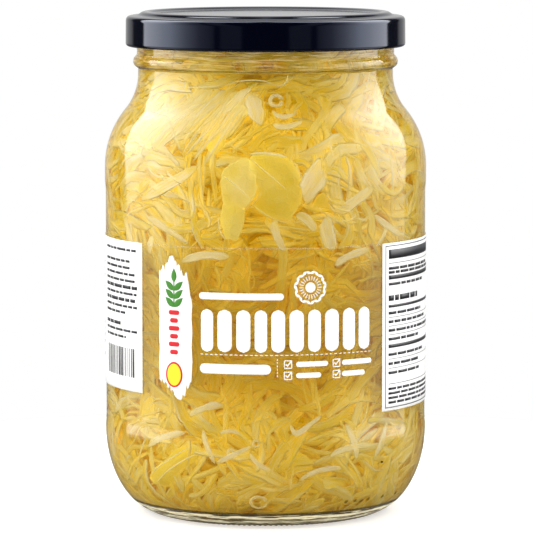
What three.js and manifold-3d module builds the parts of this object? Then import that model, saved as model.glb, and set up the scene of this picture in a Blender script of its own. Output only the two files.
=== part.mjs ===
// Jar of shredded sauerkraut: a clear glass jar, a twist-off metal lid, a clear film label that wraps
// round the body, and the packed cabbage that fills the jar.
// Millimetres, +Z up. The origin is the middle of the ring that the jar stands on, and -Y is the front.
import * as THREE from "three";
import { mergeVertices } from "three/addons/utils/BufferGeometryUtils.js";
import Module from "manifold-3d";

const wasm = await Module();
wasm.setup();

// Driving dimensions of the glass
const BODY_RADIUS = 60.2; // the two bands that guard the label panel
const PANEL_RADIUS = 59.9; // the label panel between them, a little sunk
const PANEL_BOTTOM = 37.5;
const PANEL_TOP = 121.5;
const PANEL_EASE = 4; // height over which the panel meets each band
const FOOT_INNER = 35.8; // flat ring that touches the table
const FOOT_OUTER = 39;
const PUSH_UP = 3.2; // hollow under the base
const HEEL_HEIGHT = 32.5; // top of the round heel
const SHOULDER_BOTTOM = 130.2;
const SHOULDER_ANGLE = THREE.MathUtils.degToRad(39.5); // steepest lean of the shoulder from upright
const SHOULDER_ROUND = 33.6; // radius of the outward curve below
const NECK_ROUND = 21.2; // radius of the hollow curve above
const NECK_RADIUS = 47.65;
const BEAD_RADIUS = 49.5; // ring round the neck, just below the lid
const BEAD_HEIGHT = 169.5;
const BEAD_HALF = 2.6;
const FINISH_RADIUS = 48.1; // neck under the lid
const MOUTH_HEIGHT = 186.2;
const MOUTH_ROUND = 1.2;
const WALL = 2.5;
const NECK_BORE = 44.8;
const FLOOR = 5.2; // inside floor at its edge
const FLOOR_CROWN = 7.4; // inside floor on the axis

// Driving dimensions of the lid
const LID_RADIUS = 52.3;
const LID_BOTTOM = 175.1;
const LID_TOP = 188;
const LID_SHEET = 0.6; // thickness
const LID_CURL = 2; // height and depth of the rolled lower edge
const LID_LEDGE = 186.2; // outer edge of the ledge between the skirt and the raised rim
const LID_LEDGE_INNER = 48.2;
const LID_LEDGE_RISE = 0.5; // rise of the ledge towards the rim
const LID_CORNER = 1.6; // radius from the skirt to the ledge
const LID_RIM_RADIUS = 45.4; // crest of the raised rim
const LID_RIM_WIDTH = 3;
const LID_PANEL = 187.1; // sunk middle

// Driving dimensions of the label film
const LABEL_BOTTOM = 42.9;
const LABEL_TOP = 104.8;
const LABEL_GAP = 0.08;
const LABEL_FILM = 0.2;

// Driving dimensions of the cabbage
const CABBAGE_TOP = 182;
const CABBAGE_CLEAR = 0.5; // least distance from the glass
const CORE_DEPTH = 3.4; // packed core below the glass
const CORE_BUMP = 0.9;
const SHRED_COUNT = 68;
const SHRED_WIDTH = [2.2, 4.6];
const SHRED_LENGTH = [16, 36];
const SHRED_RELIEF = [0.5, 1.7]; // outer face of a shred below the glass
const SHRED_ROOT = 4.9; // inner edge of a shred below the glass, sunk in the core
const LEAF_COUNT = 7;
const LEAF_SIZE = [11, 17];
const FRONT_LEAF = { angle: -0.03, height: 127, tilt: -0.35, length: 29, width: 23, relief: 0.6 };
const SEED = 20417;

const SEGMENTS = 48; // facets round the glass, the lid and the label
const CORE_SEGMENTS = 32;
const GOLDEN_ANGLE = Math.PI * (3 - Math.sqrt(5));

const point = (radius, height) => new THREE.Vector2(radius, height);

// Points of an elliptical arc from one angle to another, in degrees.
function arc(radius, height, across, up, from, to, steps) {
  const [start, end] = [from, to].map(THREE.MathUtils.degToRad);
  return new THREE.EllipseCurve(radius, height, across, up, start, end, end < start).getPoints(steps);
}

// A body of revolution about +Z. Angle 0 faces the front and grows towards +X.
function turned(profile, segments) {
  return new THREE.LatheGeometry(profile, segments).rotateX(Math.PI / 2);
}

// Outside of the glass, from the middle of the base up to the mouth.
function jarOutside() {
  const lean = THREE.MathUtils.radToDeg(SHOULDER_ANGLE);
  const shoulderTop = SHOULDER_BOTTOM + (SHOULDER_ROUND + NECK_ROUND) * Math.sin(SHOULDER_ANGLE);
  return [
    point(0, PUSH_UP),
    point(FOOT_INNER * 0.62, PUSH_UP * 0.72),
    point(FOOT_INNER, 0),
    ...arc(FOOT_OUTER, HEEL_HEIGHT, BODY_RADIUS - FOOT_OUTER, HEEL_HEIGHT, -90, 0, 7),
    point(PANEL_RADIUS, PANEL_BOTTOM),
    point(PANEL_RADIUS, PANEL_TOP),
    point(BODY_RADIUS, PANEL_TOP + PANEL_EASE),
    ...arc(BODY_RADIUS - SHOULDER_ROUND, SHOULDER_BOTTOM, SHOULDER_ROUND, SHOULDER_ROUND, 0, lean, 4),
    ...arc(NECK_RADIUS + NECK_ROUND, shoulderTop, NECK_ROUND, NECK_ROUND, 180 + lean, 180, 3).slice(1),
    point(NECK_RADIUS, BEAD_HEIGHT - BEAD_HALF),
    ...arc(NECK_RADIUS, BEAD_HEIGHT, BEAD_RADIUS - NECK_RADIUS, BEAD_HALF, -60, 60, 3),
    point(FINISH_RADIUS, BEAD_HEIGHT + BEAD_HALF),
    ...arc(FINISH_RADIUS - MOUTH_ROUND, MOUTH_HEIGHT - MOUTH_ROUND, MOUTH_ROUND, MOUTH_ROUND, 0, 90, 2),
  ];
}

// Inside of the glass, from the mouth down to the middle of the floor.
function jarInside() {
  const bodyBore = PANEL_RADIUS - WALL;
  const lean = THREE.MathUtils.radToDeg(SHOULDER_ANGLE);
  const lower = SHOULDER_ROUND - WALL;
  const upper = (bodyBore - NECK_BORE) / (1 - Math.cos(SHOULDER_ANGLE)) - lower;
  const shoulderTop = SHOULDER_BOTTOM + (lower + upper) * Math.sin(SHOULDER_ANGLE);
  const heelDepth = HEEL_HEIGHT - FLOOR;
  return [
    ...arc(NECK_BORE + MOUTH_ROUND, MOUTH_HEIGHT - MOUTH_ROUND, MOUTH_ROUND, MOUTH_ROUND, 90, 180, 2),
    ...arc(NECK_BORE + upper, shoulderTop, upper, upper, 180, 180 + lean, 3),
    ...arc(bodyBore - lower, SHOULDER_BOTTOM, lower, lower, lean, 0, 4).slice(1),
    ...arc(FOOT_OUTER, HEEL_HEIGHT, bodyBore - FOOT_OUTER, heelDepth, 0, -90, 6),
    point(FOOT_INNER * 0.62, (FLOOR + FLOOR_CROWN) / 2),
    point(0, FLOOR_CROWN),
  ];
}

function jar() {
  return turned([...jarOutside(), ...jarInside()], SEGMENTS);
}

// Sheet-metal lid: sunk middle, raised rim, ledge, straight skirt and a rolled lower edge.
function lid() {
  const skirtInner = LID_RADIUS - LID_SHEET;
  const rimInner = LID_RIM_RADIUS - LID_RIM_WIDTH;
  const top = [
    point(0, LID_PANEL),
    point(rimInner, LID_PANEL),
    point(LID_RIM_RADIUS - 1, LID_TOP),
    point(LID_RIM_RADIUS + 0.6, LID_TOP),
    point(LID_LEDGE_INNER, LID_LEDGE + LID_LEDGE_RISE),
    ...arc(LID_RADIUS - LID_CORNER, LID_LEDGE - LID_CORNER, LID_CORNER, LID_CORNER, 90, 0, 3),
  ];
  const curl = [
    point(LID_RADIUS, LID_BOTTOM + LID_CURL * 0.35),
    point(LID_RADIUS - LID_CURL * 0.35, LID_BOTTOM),
    point(LID_RADIUS - LID_CURL * 0.8, LID_BOTTOM),
    point(LID_RADIUS - LID_CURL, LID_BOTTOM + LID_CURL * 0.5),
    point(skirtInner, LID_BOTTOM + LID_CURL),
  ];
  const underside = [
    point(skirtInner, LID_LEDGE - LID_CORNER),
    point(LID_RADIUS - LID_CORNER, LID_LEDGE - LID_SHEET),
    point(LID_LEDGE_INNER, LID_LEDGE + LID_LEDGE_RISE - LID_SHEET),
    point(LID_RIM_RADIUS, LID_TOP - LID_SHEET),
    point(rimInner, LID_PANEL - LID_SHEET),
    point(0, LID_PANEL - LID_SHEET),
  ];
  return turned([...top, ...curl, ...underside].reverse(), SEGMENTS);
}

// Film label: a thin band round the label panel with its two ends apart at the back.
function label() {
  const step = (2 * Math.PI) / SEGMENTS;
  const last = SEGMENTS / 2 - 1;
  const angles = Array.from({ length: 2 * last + 1 }, (_, i) => (i - last) * step);
  const band = (radius) => angles.map((a) => point(radius * Math.sin(a), -radius * Math.cos(a)));
  const inner = PANEL_RADIUS + LABEL_GAP;
  const outline = new THREE.Shape([...band(inner + LABEL_FILM), ...band(inner).reverse()]);
  const depth = LABEL_TOP - LABEL_BOTTOM;
  return new THREE.ExtrudeGeometry(outline, { depth, bevelEnabled: false }).translate(0, 0, LABEL_BOTTOM);
}

// Repeatable random numbers from 0 to 1.
function randomFrom(seed) {
  let state = seed;
  return () => {
    state = (state * 1664525 + 1013904223) % 4294967296;
    return state / 4294967296;
  };
}

// Radius of the inside of the glass at a height.
function boreAt(height) {
  const wall = jarInside().reverse();
  const above = wall.findIndex((p, i) => i > 0 && p.y >= height && p.x >= FOOT_INNER);
  const [low, high] = [wall[above - 1], wall[above]];
  return THREE.MathUtils.mapLinear(height, low.y, high.y, low.x, high.x);
}

// A closed solid for joining, from a geometry whose shared vertices are merged.
function solid(geometry) {
  const bare = geometry.clone();
  bare.deleteAttribute("normal");
  bare.deleteAttribute("uv");
  const merged = mergeVertices(bare, 1e-4);
  const vertProperties = new Float32Array(merged.attributes.position.array);
  const triVerts = new Uint32Array(merged.index.array);
  return new wasm.Manifold(new wasm.Mesh({ numProp: 3, vertProperties, triVerts }));
}

function geometryOf(manifold) {
  const mesh = manifold.getMesh();
  const geometry = new THREE.BufferGeometry();
  geometry.setAttribute("position", new THREE.BufferAttribute(mesh.vertProperties, 3));
  geometry.setIndex(new THREE.BufferAttribute(mesh.triVerts, 1));
  return geometry;
}

// Packed middle of the cabbage: the shape of the bore, set in from it, with shallow bumps.
function cabbageCore() {
  const low = FLOOR + CORE_DEPTH;
  const rows = 19;
  const heights = Array.from({ length: rows + 1 }, (_, i) => low + ((CABBAGE_TOP - low) * i) / rows);
  const side = heights.map((h) => point(boreAt(h - CORE_DEPTH * 0.4) - CORE_DEPTH, h));
  const foot = point(0, FLOOR_CROWN + CORE_DEPTH);
  const core = turned([foot, ...side, point(0, CABBAGE_TOP)], CORE_SEGMENTS);
  const position = core.attributes.position;
  for (let i = 0; i < position.count; i++) {
    const [x, y, z] = [position.getX(i), position.getY(i), position.getZ(i)];
    const angle = Math.atan2(x, -y);
    const wave = Math.sin(7 * angle + z / 4.1) * Math.sin(5 * angle - z / 5.3) + Math.sin(11 * angle + z / 9);
    const share = 1 + (CORE_BUMP * wave * 0.5) / BODY_RADIUS;
    position.setXY(i, x * share, y * share);
  }
  return solid(core);
}

// A strip or leaf that lies against the glass and is rooted in the core. It is a grid of places along its
// length and across its width, with an outer face near the glass and an inner face in the core.
function shred({ angle, height, tilt, length, width, relief, bend = 0, across = 1, along = 3, wave = 0 }) {
  const corners = [];
  for (const face of [relief, SHRED_ROOT]) {
    for (let i = 0; i <= along; i++) {
      const s = i / along - 0.5;
      const heading = tilt + bend * s;
      const taper = 1 - 0.9 * s * s;
      for (let j = 0; j <= across; j++) {
        const t = (j / across - 0.5) * taper;
        const run = s * length * Math.cos(heading) - t * width * Math.sin(heading);
        const z = height + s * length * Math.sin(heading) + t * width * Math.cos(heading);
        const dip = face + (face === relief ? wave * (1 + Math.sin(9 * s + 5 * t)) : 0);
        const radius = boreAt(z) - dip;
        const a = angle + run / boreAt(height);
        corners.push(radius * Math.sin(a), -radius * Math.cos(a), z);
      }
    }
  }
  const geometry = new THREE.BufferGeometry();
  geometry.setAttribute("position", new THREE.Float32BufferAttribute(corners, 3));
  geometry.setIndex(slabFaces(along, across));
  return solid(geometry);
}

// Triangles of a slab with two like grids of corners: outer face, inner face and the four edges.
function slabFaces(along, across) {
  const at = (face, i, j) => (face * (along + 1) + i) * (across + 1) + j;
  const faces = [];
  const quad = (a, b, c, d) => faces.push(a, b, c, a, c, d);
  for (let i = 0; i < along; i++) {
    for (let j = 0; j < across; j++) {
      quad(at(0, i, j), at(0, i + 1, j), at(0, i + 1, j + 1), at(0, i, j + 1));
      quad(at(1, i, j), at(1, i, j + 1), at(1, i + 1, j + 1), at(1, i + 1, j));
    }
    quad(at(0, i, 0), at(1, i, 0), at(1, i + 1, 0), at(0, i + 1, 0));
    quad(at(0, i + 1, across), at(1, i + 1, across), at(1, i, across), at(0, i, across));
  }
  for (let j = 0; j < across; j++) {
    quad(at(0, 0, j + 1), at(1, 0, j + 1), at(1, 0, j), at(0, 0, j));
    quad(at(0, along, j), at(1, along, j), at(1, along, j + 1), at(0, along, j + 1));
  }
  return faces;
}

// The cabbage: packed core, leaf pieces and shreds, spread evenly up and round the glass.
function sauerkraut() {
  const random = randomFrom(SEED);
  const between = ([low, high]) => low + (high - low) * random();
  const bottom = FLOOR + 9;
  const top = LID_BOTTOM - 8;
  const spread = (i, count) => bottom + ((top - bottom) * (i + 0.5)) / count;
  const room = (height) => Math.max(0.25, Math.min(1, (height - bottom) / 18, (top - height) / 18));

  let heap = cabbageCore().add(shred({ ...FRONT_LEAF, across: 5, along: 6, wave: 0.45 }));
  for (let i = 0; i < LEAF_COUNT; i++) {
    const length = between(LEAF_SIZE);
    const height = THREE.MathUtils.clamp(spread(i, LEAF_COUNT), bottom + length / 2, top - length / 2);
    const width = length * (0.6 + 0.3 * random());
    const tilt = Math.PI * (random() - 0.5);
    const angle = 1.4 + (i + 0.6) * GOLDEN_ANGLE;
    heap = heap.add(shred({ angle, height, tilt, length, width, relief: 0.9, across: 3, along: 4, wave: 0.4 }));
  }
  for (let i = 0; i < SHRED_COUNT; i++) {
    const height = spread(i, SHRED_COUNT);
    heap = heap.add(
      shred({
        angle: i * GOLDEN_ANGLE,
        height,
        tilt: room(height) * 1.35 * (2 * random() - 1),
        length: between(SHRED_LENGTH) * (0.7 + 0.3 * room(height)),
        width: between(SHRED_WIDTH),
        relief: between(SHRED_RELIEF),
        bend: 1.2 * (random() - 0.5),
      }),
    );
  }
  return geometryOf(heap);
}

function piece(name, geometry, colour, roughness, metalness, opacity = 1) {
  const look = { color: colour, roughness, metalness, opacity, transparent: opacity < 1 };
  const mesh = new THREE.Mesh(geometry, new THREE.MeshStandardMaterial(look));
  mesh.name = name;
  return mesh;
}

const sauerkrautJar = new THREE.Group();
sauerkrautJar.add(
  piece("jar", jar(), 0xeef4ee, 0.03, 0, 0.3),
  piece("lid", lid(), 0x0c1024, 0.25, 0.1),
  piece("label", label(), 0xfbfbfb, 0.3, 0, 0.6),
  piece("sauerkraut", sauerkraut(), 0xe2c977, 0.5, 0),
);

export default sauerkrautJar;
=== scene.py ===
"""A shut glass jar of sauerkraut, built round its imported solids: glass, lid, label, shreds and brine."""

import math

import bpy
import numpy as np
from bpy.props import FloatProperty, FloatVectorProperty, IntProperty, PointerProperty
from bpy.types import Operator, Panel, PropertyGroup
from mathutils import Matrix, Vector


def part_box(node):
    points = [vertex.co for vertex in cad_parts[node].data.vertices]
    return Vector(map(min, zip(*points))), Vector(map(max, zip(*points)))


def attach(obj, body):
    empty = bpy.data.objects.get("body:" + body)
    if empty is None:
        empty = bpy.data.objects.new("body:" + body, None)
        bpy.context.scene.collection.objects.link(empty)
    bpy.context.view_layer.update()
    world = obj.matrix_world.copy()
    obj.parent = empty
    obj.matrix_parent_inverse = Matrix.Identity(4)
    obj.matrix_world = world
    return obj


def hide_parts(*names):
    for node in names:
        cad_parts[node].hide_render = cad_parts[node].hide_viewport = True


bl_info = {
    "name": "Sauerkraut jar",
    "version": (1, 0, 0),
    "blender": (4, 5, 0),
    "location": "3D View > Sidebar > Sauerkraut",
    "description": "Builds a glass jar of sauerkraut with its lid, label, shreds and brine",
    "category": "Object",
}

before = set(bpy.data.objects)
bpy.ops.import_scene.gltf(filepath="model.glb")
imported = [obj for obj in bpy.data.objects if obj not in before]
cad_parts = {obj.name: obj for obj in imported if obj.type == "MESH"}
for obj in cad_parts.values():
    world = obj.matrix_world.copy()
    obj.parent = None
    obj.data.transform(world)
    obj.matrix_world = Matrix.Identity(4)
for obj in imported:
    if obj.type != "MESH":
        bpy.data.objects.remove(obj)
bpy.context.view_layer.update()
BODY = "root"

# Sizes of the glass in metres, as the solids have them
JAR_RADIUS = float(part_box("jar")[1][0])
JAR_HEIGHT = float(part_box("jar")[1][2])
PANEL_SINK = 0.0003
PANEL_BOTTOM, PANEL_TOP = 0.0375, 0.1215
FOOT_INNER, FOOT_OUTER = 0.0358, 0.039
PUSH_UP = 0.0032
HEEL_HEIGHT = 0.0325
SHOULDER_BOTTOM = 0.1302
SHOULDER_LEAN = 39.5
SHOULDER_ROUND = 0.0336
NECK_RADIUS, NECK_BORE = 0.04765, 0.0448
BEAD_RADIUS, BEAD_HEIGHT, BEAD_HALF = 0.0495, 0.1695, 0.0026
FINISH_RADIUS = 0.0481
MOUTH_ROUND = 0.0012
FLOOR_CROWN = 0.0074

# Notches under the foot ring, and mould dots on the heel at these degrees
KNURLS, KNURL_DEPTH = 132, 0.00035
HEEL_DOTS = (32.9, 37.2, 43.9, 52.5, 62.4)
HEEL_DOT_HEIGHT, HEEL_DOT_SIZE, HEEL_DOT_RISE = 0.0101, 0.0008, 0.0004

# Heights of the painted shade lines: one below the bead and one over the foot
SHADE_LINE_HEIGHT, FOOT_SHADE_HEIGHT = 0.1678, 0.0061

# Painted reflections in the thick foot, as bright and dark lines: share of the way down it, and brightness
FOOT_LIGHT_STOPS = (
    (0.0, 0.0), (0.13, 0.0), (0.18, 0.85), (0.33, 1.0), (0.38, 0.15), (0.50, 0.25), (0.54, 0.85),
    (0.64, 0.75), (0.69, 0.0), (0.80, 0.2), (0.88, 0.05), (1.0, 0.3),
)

# The room as mirrors show it: share of half a turn from the camera's side, and brightness
ROOM_STOPS = (
    (0.0, 0.0), (0.10, 0.0), (0.115, 0.04), (0.20, 0.04), (0.215, 0.006), (0.23, 0.006), (0.245, 0.06),
    (0.31, 0.14), (0.38, 0.38), (0.47, 0.86), (0.56, 1.0), (0.655, 0.95), (0.669, 0.01), (0.77, 0.01),
    (0.80, 0.10), (0.93, 0.16), (1.0, 0.20),
)

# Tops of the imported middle, of the shreds and of the brine
CORE_TOP, SHRED_TOP, BRINE_TOP = 0.1815, 0.181, 0.1835

# How far the brine reaches into the glass, and how far cabbage stays off it
BRINE_REACH, CABBAGE_GAP = 0.0003, 0.00018

# The turn that spreads things evenly round the jar, and a whole turn for random starts
GOLDEN_ANGLE = math.pi * (3 - math.sqrt(5))
ANY_PHASE = (0, 6.3)

# Light that the print lets through to the cabbage behind it
INK_GLOW = (0.72, 0.70, 0.60)

# Light that one skin of a shred lets through
SHRED_GLOW = (0.95, 0.93, 0.76)

# Painted glow: emission on the cabbage that stands in for light wandering inside it, most of it at thin edges
GLOW_COLOUR = (0.44, 0.34, 0.07)
EDGE_GLOW = (1.0, 0.86, 0.42)
GLOW = 0.12

# Sizes of the lid
LID_LOW, LID_HIGH = (float(corner[2]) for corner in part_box("lid"))
LID_RADIUS = float(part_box("lid")[1][0])
LID_SHEET = 0.0006
LID_PANEL = LID_HIGH - 0.0009
LID_LEDGE = LID_HIGH - 0.0018

# Sizes of the label
LABEL_LOW, LABEL_HIGH = (float(corner[2]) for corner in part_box("label"))
LABEL_END = 172.5
FILM_INNER, FILM_OUTER = 0.05998, 0.06018

# Ends of the white brush stroke: share of its width, and height in mm
BRUSH_TOPS = (
    (0.0, 96.2), (0.05, 97.2), (0.2, 97.6), (0.24, 99.3), (0.33, 101.2), (0.45, 101.4), (0.5, 100.0),
    (0.6, 99.6), (0.68, 98.0), (0.74, 94.0), (0.84, 95.6), (0.89, 93.0), (0.93, 89.2), (0.97, 88.0),
    (1.0, 84.0),
)
BRUSH_BOTTOMS = (
    (0.0, 55.0), (0.06, 54.0), (0.2, 53.0), (0.35, 52.0), (0.43, 50.2), (0.55, 48.9), (0.67, 47.8),
    (0.8, 49.0), (0.84, 52.1), (0.92, 53.4), (0.97, 55.4), (1.0, 57.5),
)

# Tick boxes on the label: degrees of each box and of both ends of its line, then height in mm
TICK_ROWS = (
    (7.8, 10.6, 22.2, 62.5),
    (25.4, 27.5, 40.0, 62.5),
    (7.8, 10.6, 19.6, 58.4),
    (25.4, 27.5, 37.0, 58.4),
)

# Lines of the plain table: height in mm, half their height in mm, and share of the table's width
TABLE_ROWS = (
    (95.4, 0.5, 0.62), (93.9, 0.5, 0.9), (89.6, 0.5, 0.5), (84.4, 1.0, 0.38), (78.9, 0.5, 0.45),
    (75.7, 0.5, 0.55), (72.5, 0.5, 0.7), (69.3, 0.5, 0.4), (63.6, 0.5, 0.5), (60.2, 0.5, 0.42),
    (56.8, 0.5, 0.42),
)

# How thick print is, and how far print on top of other print stands off the film
INK, OVER_INK = 0.00003, 0.00006

# Where shreds sink away from the glass: degrees, then height, half width, half height and depth in mm
PRESSED = (
    (-3.0, 126.0, 22.0, 19.0, 2.6),
    (-10.7, 112.0, 6.0, 8.0, 1.6),
    (18.4, 122.0, 5.0, 3.4, 3.6),
    (-2.0, 166.5, 13.0, 3.6, 6.0),
    (-38.4, 22.2, 10.0, 7.0, 1.6),
    (3.0, 76.0, 66.0, 43.0, 3.6),
    (2.0, 20.0, 70.0, 26.0, 0.9),
    (2.0, 152.0, 40.0, 18.0, 1.7),
    (0.0, 174.0, 900.0, 11.0, 2.4),
)

# Shreds that stand out at the front: three or four places in degrees and mm, then width, depth and paleness
PLACED_SHREDS = (
    (((13.6, 123.2), (17.0, 128.4), (21.3, 133.9)), 7.6, 0.45, 0.95),
    (((2.7, 114.5), (3.8, 109.8), (6.7, 103.6)), 3.0, 0.60, 0.80),
    (((11.4, 117.0), (15.2, 114.7), (18.4, 110.6)), 3.4, 0.70, 0.70),
    (((21.7, 115.2), (22.9, 109.4), (24.5, 103.5)), 6.0, 0.45, 0.90),
    (((43.5, 114.9), (50.3, 110.8), (58.2, 107.2)), 2.6, 0.40, 0.90),
    (((44.8, 104.5), (47.5, 107.3), (49.4, 110.5)), 1.6, 0.40, 0.90),
    (((3.3, 153.7), (6.8, 151.2), (13.7, 152.9)), 1.9, 0.40, 0.95),
    (((3.0, 148.7), (8.2, 147.8), (15.2, 149.8)), 2.2, 0.50, 0.90),
    (((27.3, 116.8), (34.6, 121.3), (42.1, 125.6)), 4.5, 0.60, 0.80),
    (((-51.5, 121.0), (-37.3, 127.0), (-25.7, 133.3)), 5.0, 0.45, 0.72),
    (((-48.6, 114.7), (-38.3, 110.4), (-29.0, 105.8)), 3.4, 0.40, 0.90),
    (((-7.1, 159.7), (-4.6, 154.8), (-2.6, 148.8)), 5.2, 0.50, 0.95),
    (((-18.0, 152.2), (-13.8, 156.8), (-7.6, 161.9)), 3.4, 0.35, 0.90),
    (((-23.4, 37.2), (-21.4, 31.4), (-18.9, 25.6)), 2.3, 0.40, 0.85),
    (((-18.1, 25.8), (-11.9, 28.9), (-5.3, 32.3)), 1.9, 0.35, 0.95),
    (((-16.8, 36.4), (-13.0, 37.8), (-8.6, 36.3)), 1.5, 0.35, 0.90),
    (((-5.6, 29.7), (-2.8, 26.0), (2.0, 23.4)), 1.7, 0.35, 0.90),
    (((9.3, 40.0), (11.5, 37.0), (15.3, 39.4), (20.6, 42.5)), 2.0, 0.35, 0.95),
    (((-47.9, 29.9), (-40.0, 33.7), (-30.8, 36.3)), 2.6, 0.45, 0.80),
    (((-28.7, 42.8), (-22.6, 45.7), (-16.0, 47.5)), 2.6, 0.45, 0.80),
    (((24.3, 28.3), (32.6, 30.7), (43.0, 30.5)), 2.4, 0.40, 0.85),
    (((13.2, 19.3), (19.9, 22.9), (29.0, 23.0)), 2.2, 0.40, 0.80),
    (((30.4, 39.0), (33.5, 33.2), (35.6, 26.3)), 2.6, 0.45, 0.85),
    (((50.1, 39.0), (47.2, 31.9), (43.6, 25.5)), 2.4, 0.45, 0.85),
    (((-31.5, 98.7), (-22.5, 101.7), (-13.7, 100.9)), 3.0, 0.50, 0.80),
    (((26.1, 97.9), (32.4, 101.3), (40.7, 102.6)), 3.0, 0.50, 0.85),
)

# Thin pale veins and leaf edges: places in degrees and mm, then width, depth and paleness
PLACED_VEINS = (
    (((-15.4, 130.5), (-11.2, 127.9), (-5.2, 122.3)), 0.55, 0.22, 1.0),
    (((-5.7, 137.1), (1.4, 131.3), (7.7, 125.7)), 0.40, 0.40, 1.0),
    (((-5.7, 138.4), (0.7, 138.8), (8.2, 137.4)), 0.95, 0.35, 1.0),
    (((8.5, 137.2), (12.4, 131.9), (13.9, 124.9)), 0.35, 0.55, 0.9),
    (((-4.9, 120.6), (3.6, 115.0), (8.8, 114.6)), 0.35, 0.60, 0.9),
    (((-17.2, 115.7), (-16.5, 111.1), (-14.5, 107.6)), 0.55, 0.30, 1.0),
    (((-49.7, 18.6), (-38.4, 25.4), (-28.3, 31.1)), 0.45, 0.25, 0.6),
    (((-46.6, 16.4), (-35.9, 23.4), (-25.9, 28.7)), 0.45, 0.25, 0.5),
    (((-62.8, 161.9), (-33.7, 161.6), (-17.7, 163.2)), 0.55, 0.25, 1.0),
    (((-17.7, 163.2), (-4.9, 164.8), (4.0, 162.9)), 0.55, 0.25, 1.0),
    (((4.0, 162.9), (7.2, 162.6), (9.4, 163.9), (10.4, 166.8)), 0.60, 0.25, 1.0),
)

# Curled ends: degrees, height, radius and width in mm
CURLS = ((4.7, 156.9, 2.1, 1.5), (-3.4, 33.1, 1.1, 0.8), (-2.8, 10.9, 2.8, 1.2), (-12.5, 29.5, 1.3, 0.9))

# The lobes of the folded leaf and the yellow leaf: their rims as degrees and mm
BIG_LOBE = (
    (-5.7, 138.4), (-0.8, 138.9), (5.2, 138.4), (8.6, 137.5), (11.2, 134.2), (13.3, 129.0), (14.1, 124.5),
    (12.9, 120.8), (8.8, 114.6), (3.6, 115.0), (-2.3, 117.2), (-5.8, 120.9), (-5.4, 125.4), (-6.0, 132.0),
)
LEFT_LOBE = (
    (-15.8, 132.6), (-12.0, 135.6), (-6.8, 138.1), (-4.9, 135.7), (-4.0, 132.0), (-3.0, 126.1), (-4.9, 121.7),
    (-7.8, 118.7), (-15.4, 118.5), (-16.5, 128.1),
)
TAIL_LOBE = ((-15.4, 121.5), (-7.5, 121.0), (-7.8, 113.5), (-10.3, 107.2), (-14.6, 107.8), (-16.9, 114.8))
YELLOW_LEAF = (
    (-51.5, 17.4), (-45.9, 21.8), (-39.4, 25.5), (-34.3, 30.1), (-27.5, 32.4), (-23.5, 30.9), (-25.3, 26.7),
    (-31.5, 23.2), (-35.2, 20.6), (-37.5, 16.6), (-42.4, 14.1), (-48.4, 15.4),
)


class Wire:
    """A node's output that takes part in sums. Each sum adds a Math node."""

    def __init__(self, tree, socket):
        self.tree = tree
        self.socket = socket

    def math(self, operation, *values):
        node = self.tree.nodes.new("ShaderNodeMath")
        node.operation = operation
        for socket, value in zip(node.inputs, values):
            if isinstance(value, Wire):
                self.tree.links.new(value.socket, socket)
            else:
                socket.default_value = value
        return Wire(self.tree, node.outputs[0])

    def __add__(self, other):
        return self.math("ADD", self, other)

    def __radd__(self, other):
        return self.math("ADD", other, self)

    def __sub__(self, other):
        return self.math("SUBTRACT", self, other)

    def __rsub__(self, other):
        return self.math("SUBTRACT", other, self)

    def __mul__(self, other):
        return self.math("MULTIPLY", self, other)

    def __rmul__(self, other):
        return self.math("MULTIPLY", other, self)

    def __pow__(self, other):
        return self.math("POWER", self, other)

    def __abs__(self):
        return self.math("ABSOLUTE", self)


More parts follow.
